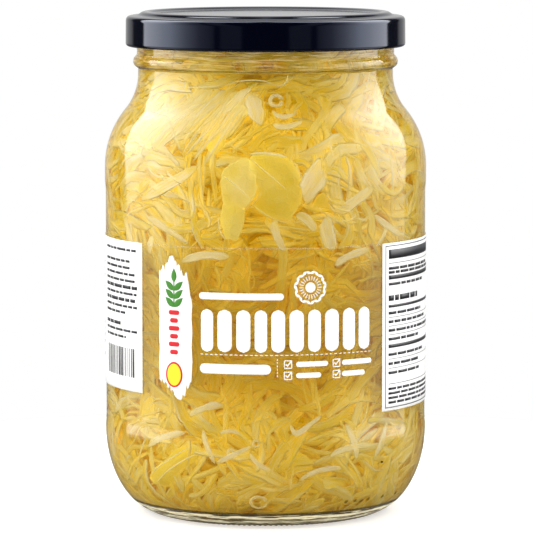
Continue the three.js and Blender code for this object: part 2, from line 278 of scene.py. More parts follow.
class Finish:
    """The node tree of one material or of the world."""

    def __init__(self, tree):
        self.tree = tree
        tree.nodes.clear()

    def add(self, kind, settings=None, sockets=None):
        """A node with its settings and its sockets' values or links. Returns its outputs by name."""
        node = self.tree.nodes.new(kind)
        for name, value in (settings or {}).items():
            if name == "stops":
                self.set_stops(node.color_ramp, value)
            else:
                setattr(node, name, value)
        for key, value in (sockets or {}).items():
            socket = self.socket(node.inputs, key)
            if isinstance(value, Wire):
                self.tree.links.new(value.socket, socket)
            else:
                socket.default_value = value
        return {s.name: Wire(self.tree, s) for s in node.outputs if s.enabled}

    @staticmethod
    def socket(sockets, key):
        if isinstance(key, int):
            return sockets[key]
        return next(s for s in sockets if s.enabled and s.name == key)

    @staticmethod
    def set_stops(ramp, stops):
        while len(ramp.elements) < len(stops):
            ramp.elements.new(1.0)
        for element, (position, value) in zip(ramp.elements, stops):
            element.position = position
            element.color = (value, value, value, 1.0)

    def blend(self, share, first, second):
        """A colour between two others."""
        sockets = {"Factor": share, "A": first, "B": second}
        return self.add("ShaderNodeMix", {"data_type": "RGBA"}, sockets)["Result"]

    def span(self, value, start, end, low=0.0, high=1.0, smooth=False):
        """A value carried from one span to another and held at its ends."""
        settings = {"interpolation_type": "SMOOTHSTEP" if smooth else "LINEAR"}
        sockets = {"Value": value, "From Min": start, "From Max": end, "To Min": low, "To Max": high}
        return self.add("ShaderNodeMapRange", settings, sockets)["Result"]

    def ramp(self, value, stops):
        """A value read off grey stops."""
        return self.add("ShaderNodeValToRGB", {"stops": stops}, {0: value})["Color"]

    def noise(self, vector, scale, detail=3.0, roughness=0.5):
        sockets = {"Vector": vector, "Scale": scale, "Detail": detail, "Roughness": roughness}
        return self.add("ShaderNodeTexNoise", None, sockets)["Fac"]

    def bump(self, height, strength, distance):
        sockets = {"Height": height, "Strength": strength, "Distance": distance}
        return self.add("ShaderNodeBump", None, sockets)["Normal"]

    def place(self):
        """The position on the object, in metres."""
        return self.add("ShaderNodeTexCoord")["Object"]

    def grain(self):
        """What each piece of cabbage carries: the share across it, the way along it in mm, and its tone."""
        return self.split(self.add("ShaderNodeAttribute", {"attribute_name": "grain"})["Vector"])

    def split(self, vector):
        parts = self.add("ShaderNodeSeparateXYZ", None, {0: vector})
        return parts["X"], parts["Y"], parts["Z"]

    def vector(self, x, y, z):
        return self.add("ShaderNodeCombineXYZ", None, {"X": x, "Y": y, "Z": z})["Vector"]

    def mirror_ray(self):
        """1 for light that a surface mirrors, and 0 for light that has passed through it."""
        ray = self.add("ShaderNodeLightPath")
        return ray["Is Glossy Ray"] * (1.0 - ray["Is Transmission Ray"])

    def principled(self, **sockets):
        named = {name.replace("_", " "): value for name, value in sockets.items()}
        return self.add("ShaderNodeBsdfPrincipled", None, named)["BSDF"]

    def clear_to_lamps(self, shader, tint=(1.0, 1.0, 1.0)):
        """The shader for what is seen, and a mere tint in the way of lamps."""
        lamp_ray = self.add("ShaderNodeLightPath")["Is Shadow Ray"]
        clear = self.add("ShaderNodeBsdfTransparent", None, {"Color": rgba(tint)})["BSDF"]
        return self.add("ShaderNodeMixShader", None, {0: lamp_ray, 1: shader, 2: clear})["Shader"]

    def finish(self, surface, volume=None):
        links = {"Surface": surface}
        if volume is not None:
            links["Volume"] = volume
        self.add("ShaderNodeOutputMaterial", None, links)


def new_finish(name):
    material = bpy.data.materials.new(name)
    material.use_nodes = True
    return material, Finish(material.node_tree)


def rgba(colour):
    return (*colour, 1.0)


# Mesh helpers


def make_piece(name, verts, faces, material, node=None, grain=None, inner=None):
    """A smooth mesh from arrays that rides with the jar. faces is a list of arrays, one for each count of
    sides, and inner a second material and which faces have it."""
    mesh = bpy.data.meshes.new(name)
    loops = np.concatenate([f.ravel() for f in faces]).astype(np.int32)
    totals = np.concatenate([np.full(len(f), f.shape[1]) for f in faces]).astype(np.int32)
    starts = np.concatenate(([0], np.cumsum(totals)[:-1])).astype(np.int32)
    mesh.vertices.add(len(verts))
    mesh.vertices.foreach_set("co", np.asarray(verts, dtype=np.float32).ravel())
    mesh.loops.add(len(loops))
    mesh.loops.foreach_set("vertex_index", loops)
    mesh.polygons.add(len(totals))
    mesh.polygons.foreach_set("loop_start", starts)
    mesh.polygons.foreach_set("loop_total", totals)
    mesh.polygons.foreach_set("use_smooth", np.ones(len(totals), dtype=bool))
    if grain is not None:
        layer = mesh.attributes.new("grain", "FLOAT_VECTOR", "POINT")
        layer.data.foreach_set("vector", np.asarray(grain, dtype=np.float32).ravel())
    mesh.update()
    if mesh.validate():
        raise RuntimeError(f"{name} has faults in its mesh")
    mesh.materials.append(material)
    if inner is not None:
        mesh.materials.append(inner[0])
        mesh.polygons.foreach_set("material_index", np.asarray(inner[1], dtype=np.int32))
    piece = bpy.data.objects.new(name, mesh)
    bpy.context.scene.collection.objects.link(piece)
    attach(piece, BODY)
    if node:
        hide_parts(node)
    return piece


def arc(radius, height, across, up, start, end, steps):
    turn = np.radians(np.linspace(start, end, steps + 1))
    return np.column_stack((radius + across * np.cos(turn), height + up * np.sin(turn)))


def ease(first, last, steps):
    """A smooth step between two points of a profile."""
    t = np.linspace(0, 1, steps + 1)
    share = t * t * (3 - 2 * t)
    return np.column_stack((first[0] + (last[0] - first[0]) * share, first[1] + (last[1] - first[1]) * t))


def rounded(corners, steps=6, hold=0.00012):
    """A run of straight lines with round corners. corners are (radius, height, round), and points just
    beside each round keep the lines between them straight in the shading."""
    points = [np.array(corners[0][:2])]
    for before, corner, after in zip(corners, corners[1:], corners[2:]):
        middle = np.array(corner[:2])
        back, on = np.array(before[:2]) - middle, np.array(after[:2]) - middle
        reach = min(corner[2], 0.45 * np.linalg.norm(back), 0.45 * np.linalg.norm(on))
        start, end = middle + unit(back) * reach, middle + unit(on) * reach
        share = np.linspace(0, 1, steps + 1)[:, None]
        points.append(start + unit(back) * min(hold, 0.05 * np.linalg.norm(back)))
        points.extend((1 - share) ** 2 * start + 2 * share * (1 - share) * middle + share**2 * end)
        points.append(end + unit(on) * min(hold, 0.05 * np.linalg.norm(on)))
    points.append(np.array(corners[-1][:2]))
    return np.array(points)


def joined(*runs):
    """Runs of profile points in one array, without repeats."""
    points = np.concatenate([np.atleast_2d(run) for run in runs])
    keep = np.append(True, np.linalg.norm(np.diff(points, axis=0), axis=1) > 1e-7)
    return points[keep]


def turned(profile, segments):
    """Verts and faces of a profile turned about +Z, from the axis and back to it. Angle 0 is the front."""
    angles = np.linspace(0, 2 * math.pi, segments, endpoint=False)
    ring = profile[1:-1]
    around = np.stack((
        ring[:, :1] * np.sin(angles),
        -ring[:, :1] * np.cos(angles),
        np.repeat(ring[:, 1:], segments, axis=1),
    ), axis=-1).reshape(-1, 3)
    ends = np.array([[0, 0, profile[0, 1]], [0, 0, profile[-1, 1]]])
    here = np.arange(segments)
    after = (here + 1) % segments
    low = np.arange(len(ring) - 1)[:, None] * segments
    quads = np.stack((low + here, low + after, low + segments + after, low + segments + here), axis=-1)
    first, last = len(around), len(around) + 1
    top = (len(ring) - 1) * segments
    tris = np.concatenate((
        np.column_stack((np.full(segments, first), after, here)),
        np.column_stack((np.full(segments, last), top + here, top + after)),
    ))
    return np.concatenate((around, ends)), [quads.reshape(-1, 4), tris]


def slab(outer, inner):
    """Verts and faces of a closed slab between two like grids of points, outer face first."""
    rows, columns = outer.shape[:2]
    index = np.arange(rows * columns).reshape(rows, columns)
    deep = index + rows * columns
    front = np.stack((index[:-1, :-1], index[:-1, 1:], index[1:, 1:], index[1:, :-1]), axis=-1)
    back = np.stack((deep[:-1, :-1], deep[1:, :-1], deep[1:, 1:], deep[:-1, 1:]), axis=-1)
    rim = np.concatenate((index[0, :-1], index[:-1, -1], index[-1, :0:-1], index[:0:-1, 0]))
    nxt = np.roll(rim, -1)
    edge = np.stack((rim, rim + rows * columns, nxt + rows * columns, nxt), axis=-1)
    verts = np.concatenate((outer.reshape(-1, 3), inner.reshape(-1, 3)))
    return verts, np.concatenate((front.reshape(-1, 4), back.reshape(-1, 4), edge))


def gathered(parts):
    """Several lots of verts and quads as one."""
    verts, quads, count = [], [], 0
    for v, q in parts:
        verts.append(v)
        quads.append(q + count)
        count += len(v)
    return np.concatenate(verts), np.concatenate(quads)


# Profiles of the jar


def jar_outside():
    panel = JAR_RADIUS - PANEL_SINK
    lean = SHOULDER_LEAN
    hollow = (JAR_RADIUS - NECK_RADIUS) / (1 - math.cos(math.radians(lean))) - SHOULDER_ROUND
    neck_start = SHOULDER_BOTTOM + (SHOULDER_ROUND + hollow) * math.sin(math.radians(lean))
    r = np.linspace(0, FOOT_INNER, 16)
    dome = np.column_stack((r, PUSH_UP * (1 - (r / FOOT_INNER) ** 3)))
    return joined(
        dome,
        np.column_stack((np.linspace(FOOT_INNER + 0.0003, FOOT_OUTER, 6), np.zeros(6))),
        arc(FOOT_OUTER, HEEL_HEIGHT, JAR_RADIUS - FOOT_OUTER, HEEL_HEIGHT, -90, 0, 44),
        ease((JAR_RADIUS, HEEL_HEIGHT), (panel, PANEL_BOTTOM), 5),
        ease((panel, PANEL_TOP), (JAR_RADIUS, PANEL_TOP + 0.004), 5),
        arc(JAR_RADIUS - SHOULDER_ROUND, SHOULDER_BOTTOM, SHOULDER_ROUND, SHOULDER_ROUND, 0, lean, 16),
        arc(NECK_RADIUS + hollow, neck_start, hollow, hollow, 180 + lean, 180, 14),
        (NECK_RADIUS, neck_start + 0.0004),
        rounded((
            (NECK_RADIUS, BEAD_HEIGHT - BEAD_HALF - 0.0003, 0),
            (NECK_RADIUS, BEAD_HEIGHT - BEAD_HALF, 0.0005),
            (BEAD_RADIUS, BEAD_HEIGHT - BEAD_HALF * 0.45, 0.0014),
            (BEAD_RADIUS, BEAD_HEIGHT + BEAD_HALF * 0.35, 0.0014),
            (FINISH_RADIUS, BEAD_HEIGHT + BEAD_HALF, 0.0005),
            (FINISH_RADIUS, BEAD_HEIGHT + BEAD_HALF + 0.0006, 0),
        )),
        (FINISH_RADIUS, JAR_HEIGHT - MOUTH_ROUND - 0.0002),
        arc(FINISH_RADIUS - MOUTH_ROUND, JAR_HEIGHT - MOUTH_ROUND, MOUTH_ROUND, MOUTH_ROUND, 0, 90, 4),
    )


def heel_spots():
    """The middle of each raised mould dot, on the outside of the heel."""
    lift = 1 - HEEL_DOT_HEIGHT / HEEL_HEIGHT
    r = FOOT_OUTER + (JAR_RADIUS - FOOT_OUTER) * math.sqrt(1 - lift**2)
    return [(r * math.sin(a), -r * math.cos(a), HEEL_DOT_HEIGHT) for a in map(math.radians, HEEL_DOTS)]


def jar_inside(wall, floor):
    """The inside of the glass, from the middle of the floor up to the mouth."""
    bore = JAR_RADIUS - PANEL_SINK - wall
    lean = SHOULDER_LEAN
    lower = SHOULDER_ROUND - wall
    upper = (bore - NECK_BORE) / (1 - math.cos(math.radians(lean))) - lower
    neck_start = SHOULDER_BOTTOM + (lower + upper) * math.sin(math.radians(lean))
    r = np.linspace(0, FOOT_OUTER, 18)
    crown = np.column_stack((r, floor + (FLOOR_CROWN - floor) * 0.5 * (1 + np.cos(math.pi * r / FOOT_OUTER))))
    return joined(
        crown,
        arc(FOOT_OUTER, HEEL_HEIGHT, bore - FOOT_OUTER, HEEL_HEIGHT - floor, -90, 0, 30),
        arc(bore - lower, SHOULDER_BOTTOM, lower, lower, 0, lean, 14),
        arc(NECK_BORE + upper, neck_start, upper, upper, 180 + lean, 180, 12),
        arc(NECK_BORE + MOUTH_ROUND, JAR_HEIGHT - MOUTH_ROUND, MOUTH_ROUND, MOUTH_ROUND, 180, 90, 4),
    )


class Wall:
    """The inside of the glass as a place to lay things. t runs along it from the floor's middle, and depth
    inwards."""

    def __init__(self, wall, floor):
        rough = jar_inside(wall, floor)
        rough = rough[rough[:, 1] < JAR_HEIGHT - MOUTH_ROUND + 1e-6]
        run = np.append(0, np.cumsum(np.linalg.norm(np.diff(rough, axis=0), axis=1)))
        self.t = np.linspace(0, run[-1], 900)
        self.r = np.interp(self.t, run, rough[:, 0])
        self.z = np.interp(self.t, run, rough[:, 1])
        dr, dz = np.gradient(self.r, self.t), np.gradient(self.z, self.t)
        size = np.hypot(dr, dz)
        self.out_r, self.out_z = dz / size, -dr / size
        self.upright = self.r > FOOT_OUTER

    def radius(self, t):
        return np.interp(t, self.t, self.r)

    def t_at(self, height):
        """Where on the upright part of the wall a height is."""
        return np.interp(height, self.z[self.upright], self.t[self.upright])

    def inset(self, t, depth):
        """Radius and height of points so deep inside the wall."""
        r = self.radius(t) - np.interp(t, self.t, self.out_r) * depth
        z = np.interp(t, self.t, self.z) - np.interp(t, self.t, self.out_z) * depth
        return r, z

    def place(self, angle, t, depth):
        r, z = self.inset(t, depth)
        return np.stack((r * np.sin(angle), -r * np.cos(angle), z), axis=-1)

    def outward(self, angle, t):
        r = np.interp(t, self.t, self.out_r)
        z = np.interp(t, self.t, self.out_z)
        return np.stack((r * np.sin(angle), -r * np.cos(angle), z), axis=-1)

    def keep_inside(self, points):
        """Presses points that would cross the glass flat against it."""
        limit = np.interp(points[..., 2], self.z[self.upright], self.r[self.upright]) - CABBAGE_GAP
        r = np.hypot(points[..., 0], points[..., 1])
        share = np.minimum(1, limit / np.maximum(r, 1e-6))
        points[..., :2] *= share[..., None]
        return points


def unit(vectors):
    return vectors / np.maximum(np.linalg.norm(vectors, axis=-1, keepdims=True), 1e-12)


# Shreds


def ribbon_faces(count, steps, sides):
    """Quads along each of several ribbons, and the faces that close their ends."""
    ring = np.arange(sides)
    nxt = (ring + 1) % sides
    step = np.arange(steps - 1)[:, None] * sides
    quads = np.stack((step + ring, step + nxt, step + sides + nxt, step + sides + ring), axis=-1)
    caps = np.stack((ring[::-1], ring + (steps - 1) * sides))
    base = np.arange(count)[:, None, None] * (steps * sides)
    return [(quads.reshape(1, -1, 4) + base).reshape(-1, 4), (caps[None] + base).reshape(-1, sides)]


def sweep(wall, angle, t, depth, width, thick, twist, cup, tone, ribs, sides=6):
    """Ribbons along paths on the wall. Each array has one row for each ribbon, and angle, t, depth, width
    and twist have one column for each place along it. ribs is the height, count and phase of ridges along
    each ribbon. Returns verts, faces and grain: across, along in mm, and tone."""
    count, steps = angle.shape
    middle = wall.place(angle, t, depth)
    along = unit(np.gradient(middle, axis=1))
    out = wall.outward(angle, t)
    side = unit(np.cross(out, along))
    up = np.cross(along, side)
    turn = twist[..., None]
    side, up = side * np.cos(turn) + up * np.sin(turn), up * np.cos(turn) - side * np.sin(turn)
    half = sides // 2
    across = np.concatenate((np.linspace(-1, 1, half + 1), np.linspace(1, -1, half + 1)[1:-1]))
    level = np.concatenate((np.ones(half + 1), -np.ones(half - 1))) * np.sqrt(np.maximum(0, 1 - across**2))
    bow = cup[:, None] * (across**2 - 0.33)
    ridge = ribs[:, :1] * np.cos(ribs[:, 1:2] * math.pi * across + ribs[:, 2:])
    lift = level * thick[:, None] / 2 + ridge
    run = np.cumsum(np.linalg.norm(np.diff(middle, axis=1, prepend=middle[:, :1]), axis=2), axis=1)
    share = run / run[:, -1:]
    far = np.abs(2 * share - 1)
    end = np.where(share < 0.5, -1, 1)
    slope = 0.6 * np.sin(ribs[:, 2:] * (6 + end)) * np.clip((far - 0.6) / 0.4, 0, 1) * width
    torn = np.where(far > 0.999, end * np.minimum(0.3 * width, 0.0003), 0)[..., None]
    slant = slope[..., None] * across + torn * np.sin((5 + ribs[:, 2:, None]) * across + 3 * end[..., None])
    verts = (
        middle[:, :, None]
        + along[:, :, None] * slant[..., None]
        + side[:, :, None] * (across * width[..., None] / 2)[..., None]
        + up[:, :, None] * (lift[:, None, :] + bow[:, None, :] * width[..., None] / 2)[..., None]
    )
    verts = wall.keep_inside(verts)
    grain = np.empty((count, steps, sides, 3))
    grain[..., 0] = (across + 1) / 2
    grain[..., 1] = (run * 1000)[..., None]
    grain[..., 2] = tone[:, None, None]
    return verts.reshape(-1, 3), ribbon_faces(count, steps, sides), grain.reshape(-1, 3)


def pressed(wall, angle, t):
    """How much deeper shreds lie where more brine shows between them and the glass."""
    extra = np.zeros(angle.shape)
    for degrees, height, wide, tall, deep in PRESSED:
        t0 = wall.t_at(height / 1000)
        off = (angle - math.radians(degrees) + math.pi) % (2 * math.pi) - math.pi
        far = np.hypot(off * wall.radius(t0) * 1000 / wide, (t - t0) * 1000 / tall)
        extra = np.maximum(extra, deep / 1000 * np.clip(2.4 * (1 - far), 0, 1))
    return extra


def strands(wall, rows, rng, thick=0.0004, cup=0.12, steps=17, sides=14):
    """Shreds along chosen places. Each row is its places, width, depth and paleness."""
    s = 0.5 + 0.5 * np.sin(np.linspace(-math.pi / 2, math.pi / 2, steps))
    count = len(rows)
    angle, t, width, depth = (np.empty((count, steps)) for _ in range(4))
    for i, (places, wide, deep, _) in enumerate(rows):
        at = np.linspace(0, 1, len(places))
        degrees, heights = np.array(places).T
        angle[i] = np.radians(np.polyval(np.polyfit(at, degrees, len(at) - 1), s))
        t[i] = wall.t_at(np.polyval(np.polyfit(at, heights, len(at) - 1), s) / 1000)
        ragged = np.interp(s, np.linspace(0, 1, 7), 1 + rng.normal(0, 0.09, 7))
        ragged *= 1 + rng.normal(0, 0.12) * s
        width[i] = wide / 1000 * (1 - 0.8 * np.abs(2 * s - 1) ** rng.uniform(2.5, 11)) * ragged
        depth[i] = deep / 1000 + 0.0006 * (2 * s - 1) ** 4
    tone = np.array([row[3] for row in rows])
    widest = width.max(axis=1)
    heavy = thick * np.minimum(1, widest / 0.001)
    ribs = np.column_stack((
        np.minimum(widest * 0.03, 0.00015), 1.2 + widest * 500, rng.uniform(*ANY_PHASE, count)
    ))
    spin = rng.normal(0, 0.12, (count, 1)) + rng.normal(0, 0.2, (count, 1)) * (s - 0.5)
    bow = rng.normal(0, cup, count)
    return sweep(wall, angle, t, depth, width, heavy, spin, bow, tone, ribs, sides)


def curled(wall, rows, steps=21):
    """Shred ends that curl into small rings."""
    turn = np.linspace(0.4, 6.1, steps)[None, :]
    degrees, height, radius, wide = (np.array(column)[:, None] for column in zip(*rows))
    t0 = wall.t_at(height / 1000)
    grow = 1 + 0.12 * np.sin(turn)
    angle = np.radians(degrees) + radius / 1000 * grow * np.cos(turn) / wall.radius(t0)
    t = t0 + radius / 1000 * grow * np.sin(turn)
    count = len(rows)
    width = np.repeat(wide / 1000, steps, axis=1)
    depth = np.full((count, steps), 0.0006)
    flat, straight, smooth = np.zeros((count, steps)), np.zeros(count), np.zeros((count, 3))
    tone = np.full(count, 0.95)
    return sweep(wall, angle, t, depth, width, width[:, 0] * 0.6, flat, straight, tone, smooth)


def neck_fan(rng, broad=11, fine=46):
    """Rows for the ribbed strips that fan out below the neck on the left, with finer ones over them."""
    rows = []
    for i in range(broad + fine):
        thin = i >= broad
        share = (i - broad + rng.random()) / fine if thin else (i + rng.uniform(0.2, 0.8)) / broad
        top = 160.4 + rng.uniform(-5.0, 1.0) if thin else 161.0 + rng.uniform(-1.5, 0.8)
        first = (-40.0 + 35.0 * share, top)
        last = (-63.0 + 47.0 * share, 141.0 + rng.uniform(-7.0, 6.0))
        aside, above = rng.normal(0, 1.2), rng.normal(0.8, 0.6)
        middle = ((first[0] + last[0]) / 2 + aside, (first[1] + last[1]) / 2 + above)
        width = rng.uniform(0.5, 1.3) if thin else rng.uniform(4.0, 8.5)
        depth = rng.uniform(0.3, 0.6) if thin else rng.uniform(0.7, 1.8)
        rows.append(((first, middle, last), width, depth, rng.uniform(0.45, 1.0)))
    return rows


def shred_paths(wall, rng, count, length, width, depth, thick, bend, clump=5, steps=9, sides=6):
    """Shreds in loose bundles that lie every way on the wall."""
    low, high = wall.t_at(0.0058) - 0.016, wall.t_at(SHRED_TOP)
    places = np.linspace(low, high, 400)
    weight = np.cumsum(np.maximum(wall.radius(places), 0.02))
    bundles = max(1, count // clump)
    order = (np.arange(bundles) + rng.random(bundles)) / bundles
    bundle_t = np.interp(order, (weight - weight[0]) / (weight[-1] - weight[0]), places)
    bundle_angle = np.arange(bundles) * GOLDEN_ANGLE + rng.normal(0, 0.06, bundles)
    bundle_way = 0.8 * np.sin(3 * bundle_angle + 55 * bundle_t) + rng.normal(0, 0.75, bundles)
    bundle_way *= np.where(bundle_t > wall.t_at(0.160), 0.15, 1.0)
    bundle_bend = rng.normal(0, bend, bundles)
    bundle_tone = rng.random(bundles)
    bundle_depth = rng.random(bundles)

    of = np.arange(count) % bundles
    long = rng.uniform(*length, count) * (0.75 + 0.5 * rng.random(count))
    wide = rng.uniform(*width, count)
    way = bundle_way[of] + rng.normal(0, 0.22, count)
    rank = np.arange(count) // bundles - (clump - 1) / 2
    beside = rank * np.mean(width) * 0.95 + rng.normal(0, 0.0006, count)
    ahead = rng.normal(0, 0.0035, count)
    sway = bundle_bend[of] + rng.normal(0, bend * 0.7, count)
    tone = np.clip(0.75 * bundle_tone[of] + 0.65 * rng.random(count) - 0.2, 0, 1)
    sink = depth[0] + (depth[1] - depth[0]) * np.clip(0.6 * bundle_depth[of] + 0.4 * rng.random(count), 0, 1)

    s = 0.5 * np.sin(np.linspace(-math.pi / 2, math.pi / 2, steps))[None, :]
    ripple = rng.normal(0, 0.25, (count, 1)) * np.sin(6.3 * s + rng.uniform(*ANY_PHASE, (count, 1)))
    heading = way[:, None] + sway[:, None] * s + ripple
    pace = long[:, None] * np.diff(s, prepend=s[:, :1])
    u = np.cumsum(np.cos(heading) * pace, axis=1)
    v = np.cumsum(np.sin(heading) * pace, axis=1)
    u -= u[:, steps // 2][:, None] + (beside * np.sin(way) - ahead * np.cos(way))[:, None]
    v -= v[:, steps // 2][:, None] - (beside * np.cos(way) + ahead * np.sin(way))[:, None]
    t = np.clip(bundle_t[of][:, None] + v, low - 0.004, wall.t[-1] - 0.0005)
    angle = bundle_angle[of][:, None] + u / np.maximum(wall.radius(bundle_t[of]), 0.012)[:, None]
    tilt = rng.normal(0, 0.0009, (count, 1)) * s * 2
    dive = np.abs(rng.normal(0, 0.0014, (count, 1))) * (2 * s) ** 2
    heavy = rng.uniform(*thick, count)
    sunk = np.maximum(sink[:, None] + tilt + dive, 0.0002 + heavy[:, None] * 0.5) + pressed(wall, angle, t)
    blunt = rng.uniform(5.0, 30.0, (count, 1))
    tip = 1 - rng.uniform(0.3, 0.8, (count, 1)) * np.abs(2 * s) ** blunt
    taper = rng.normal(0, 0.16, (count, 1)) * 2 * s
    swell = 0.1 * np.sin(9 * s * long[:, None] / 0.01 + rng.uniform(*ANY_PHASE, (count, 1)))
    spin = rng.normal(0, 0.35, (count, 1)) + rng.normal(0, 0.5, (count, 1)) * s
    cup = rng.normal(0, 0.16, count)
    ribs = np.column_stack((
        wide * rng.uniform(0.02, 0.07, count),
        rng.uniform(1.0, sides * 0.3, count),
        rng.uniform(*ANY_PHASE, count),
    ))
    shape = wide[:, None] * tip * (1 + taper + swell)
    return sweep(wall, angle, t, sunk, shape, heavy, spin, cup, tone, ribs, sides)


def leaf(wall, angle, height, reach, depth, thick, tone, rng, ripple=0.0004, rings=9, spokes=44, turn=0.0,
         outline=None, ridge=None):
    """A thin wavy piece of leaf with an uneven rim, lying on the wall. outline gives its rim as degrees and
    mm, and ridge a fold as its way in degrees, its offset in metres and its slope. Returns verts, faces and
    grain: rim, along in mm, and tone."""
    theta = np.linspace(0, 2 * math.pi, spokes, endpoint=False)
    rim = np.ones(spokes)
    for k in range(2, 7):
        rim += rng.normal(0, 0.16 / k) * np.sin(k * theta + rng.uniform(*ANY_PHASE))
    if outline:
        corners = np.array(outline + outline[:1])
        part = np.linspace(0, len(outline), len(outline) * 8, endpoint=False)
        degrees, heights = (np.interp(part, np.arange(len(corners)), column) for column in corners.T)
        right = (np.radians(degrees) - angle) * wall.radius(wall.t_at(height))
        above = wall.t_at(heights / 1000) - wall.t_at(height)
        bearing, far = np.arctan2(above, right), np.hypot(right, above)
        rim = np.interp(theta, bearing, far, period=2 * math.pi) / reach[0]
        for _ in range(spokes // 24):
            rim = (np.roll(rim, 1) + 2 * rim + np.roll(rim, -1)) / 4
        for k in (5, 8, 13, 19):
            rim *= 1 + rng.uniform(0.004, 0.012) * np.sin(k * theta + rng.uniform(*ANY_PHASE))
    rho = np.linspace(0, 1, rings + 1)[1:, None]
    x0, y0 = rho * rim * reach[0] * np.cos(theta), rho * rim * reach[1] * np.sin(theta)
    x = x0 * math.cos(turn) - y0 * math.sin(turn)
    y = x0 * math.sin(turn) + y0 * math.cos(turn)
    phase = rng.uniform(*ANY_PHASE, 3)
    wave = np.sin(x / 0.0031 + phase[0]) * np.sin(y / 0.0042 + phase[1])
    wave += 0.6 * np.sin((x + y) / 0.0024 + phase[2])
    t0 = wall.t_at(height)
    sunk = depth + ripple * (1.4 + wave) * (0.5 + rho)
    pin = depth + ripple * 0.7
    if ridge:
        way, offset, slope = math.radians(ridge[0]), ridge[1], ridge[2]
        sunk = sunk + slope * np.abs(y * math.cos(way) - x * math.sin(way) - offset)
        pin += slope * abs(offset)
    a, t = angle + x / wall.radius(t0), t0 + y
    shells = []
    for extra in (0.0, thick):
        centre = wall.place(np.array([[angle]]), np.array([[t0]]), np.array([[pin + extra]]))
        shells.append(np.concatenate((centre.reshape(-1, 3), wall.place(a, t, sunk + extra).reshape(-1, 3))))
    verts = wall.keep_inside(np.concatenate(shells))
    count = 1 + rings * spokes
    here = np.arange(spokes)
    nxt = (here + 1) % spokes
    row = 1 + np.arange(rings - 1)[:, None] * spokes
    quads = np.stack((row + here, row + spokes + here, row + spokes + nxt, row + nxt), axis=-1).reshape(-1, 4)
    fan = np.column_stack((np.zeros(spokes, int), 1 + here, 1 + nxt))
    last = 1 + (rings - 1) * spokes
    band = np.column_stack((last + here, count + last + here, count + last + nxt, last + nxt))
    skin = np.concatenate((quads, quads[:, ::-1] + count, band))
    middles = np.concatenate((fan, fan[:, ::-1] + count))
    out = np.append(0.0, np.repeat(rho.ravel(), spokes))
    grain = np.column_stack((0.5 + out / 2, np.append(0.0, y.ravel() * 1000), np.full(count, tone)))
    return verts, [skin, middles], np.concatenate((grain, grain))


def torn_rim(wall, angle, height, size, rng):
    """The rim of a torn piece of leaf, as degrees and mm: a few corners round a long shape that lies any
    way."""
    count = int(rng.integers(5, 8))
    way = (np.arange(count) + rng.uniform(-0.35, 0.35, count)) * 2 * math.pi / count
    reach = size * rng.uniform(0.6, 1.1, count)
    x, y = 1.5 * reach * np.cos(way), 0.7 * reach * np.sin(way)
    turn = rng.uniform(0, math.pi)
    x, y = x * math.cos(turn) - y * math.sin(turn), x * math.sin(turn) + y * math.cos(turn)
    degrees = np.degrees(angle + x / wall.radius(wall.t_at(height)))
    return tuple(zip(degrees.tolist(), ((height + y) * 1000).tolist()))


def pooled(lots):
    """Several lots of verts, faces and grain as one, with faces grouped by their count of sides."""
    verts, grain, by_sides, count = [], [], {}, 0
    for v, faces, g in lots:
        for f in faces:
            by_sides.setdefault(f.shape[1], []).append(f + count)
        verts.append(v)
        grain.append(g)
        count += len(v)
    faces = [np.concatenate(group) for group in by_sides.values()]
    return np.concatenate(verts), faces, np.concatenate(grain)


# Finishes


def as_glass(nodes, sheen, **marks):
    """Closes a finish as clear glass."""
    tint = (sheen, sheen, sheen, 1.0)
    clear = nodes.principled(Roughness=0.0, IOR=1.5, Transmission_Weight=1.0, Specular_Tint=tint, **marks)
    nodes.finish(nodes.clear_to_lamps(clear))


def wet_glass_finish(settings):
    """The inside of the glass. It has no sheen, because brine bends light almost as glass does."""
    material, nodes = new_finish("wet_glass")
    as_glass(nodes, 0.0, Base_Color=rgba(settings.glass_colour))
    return material


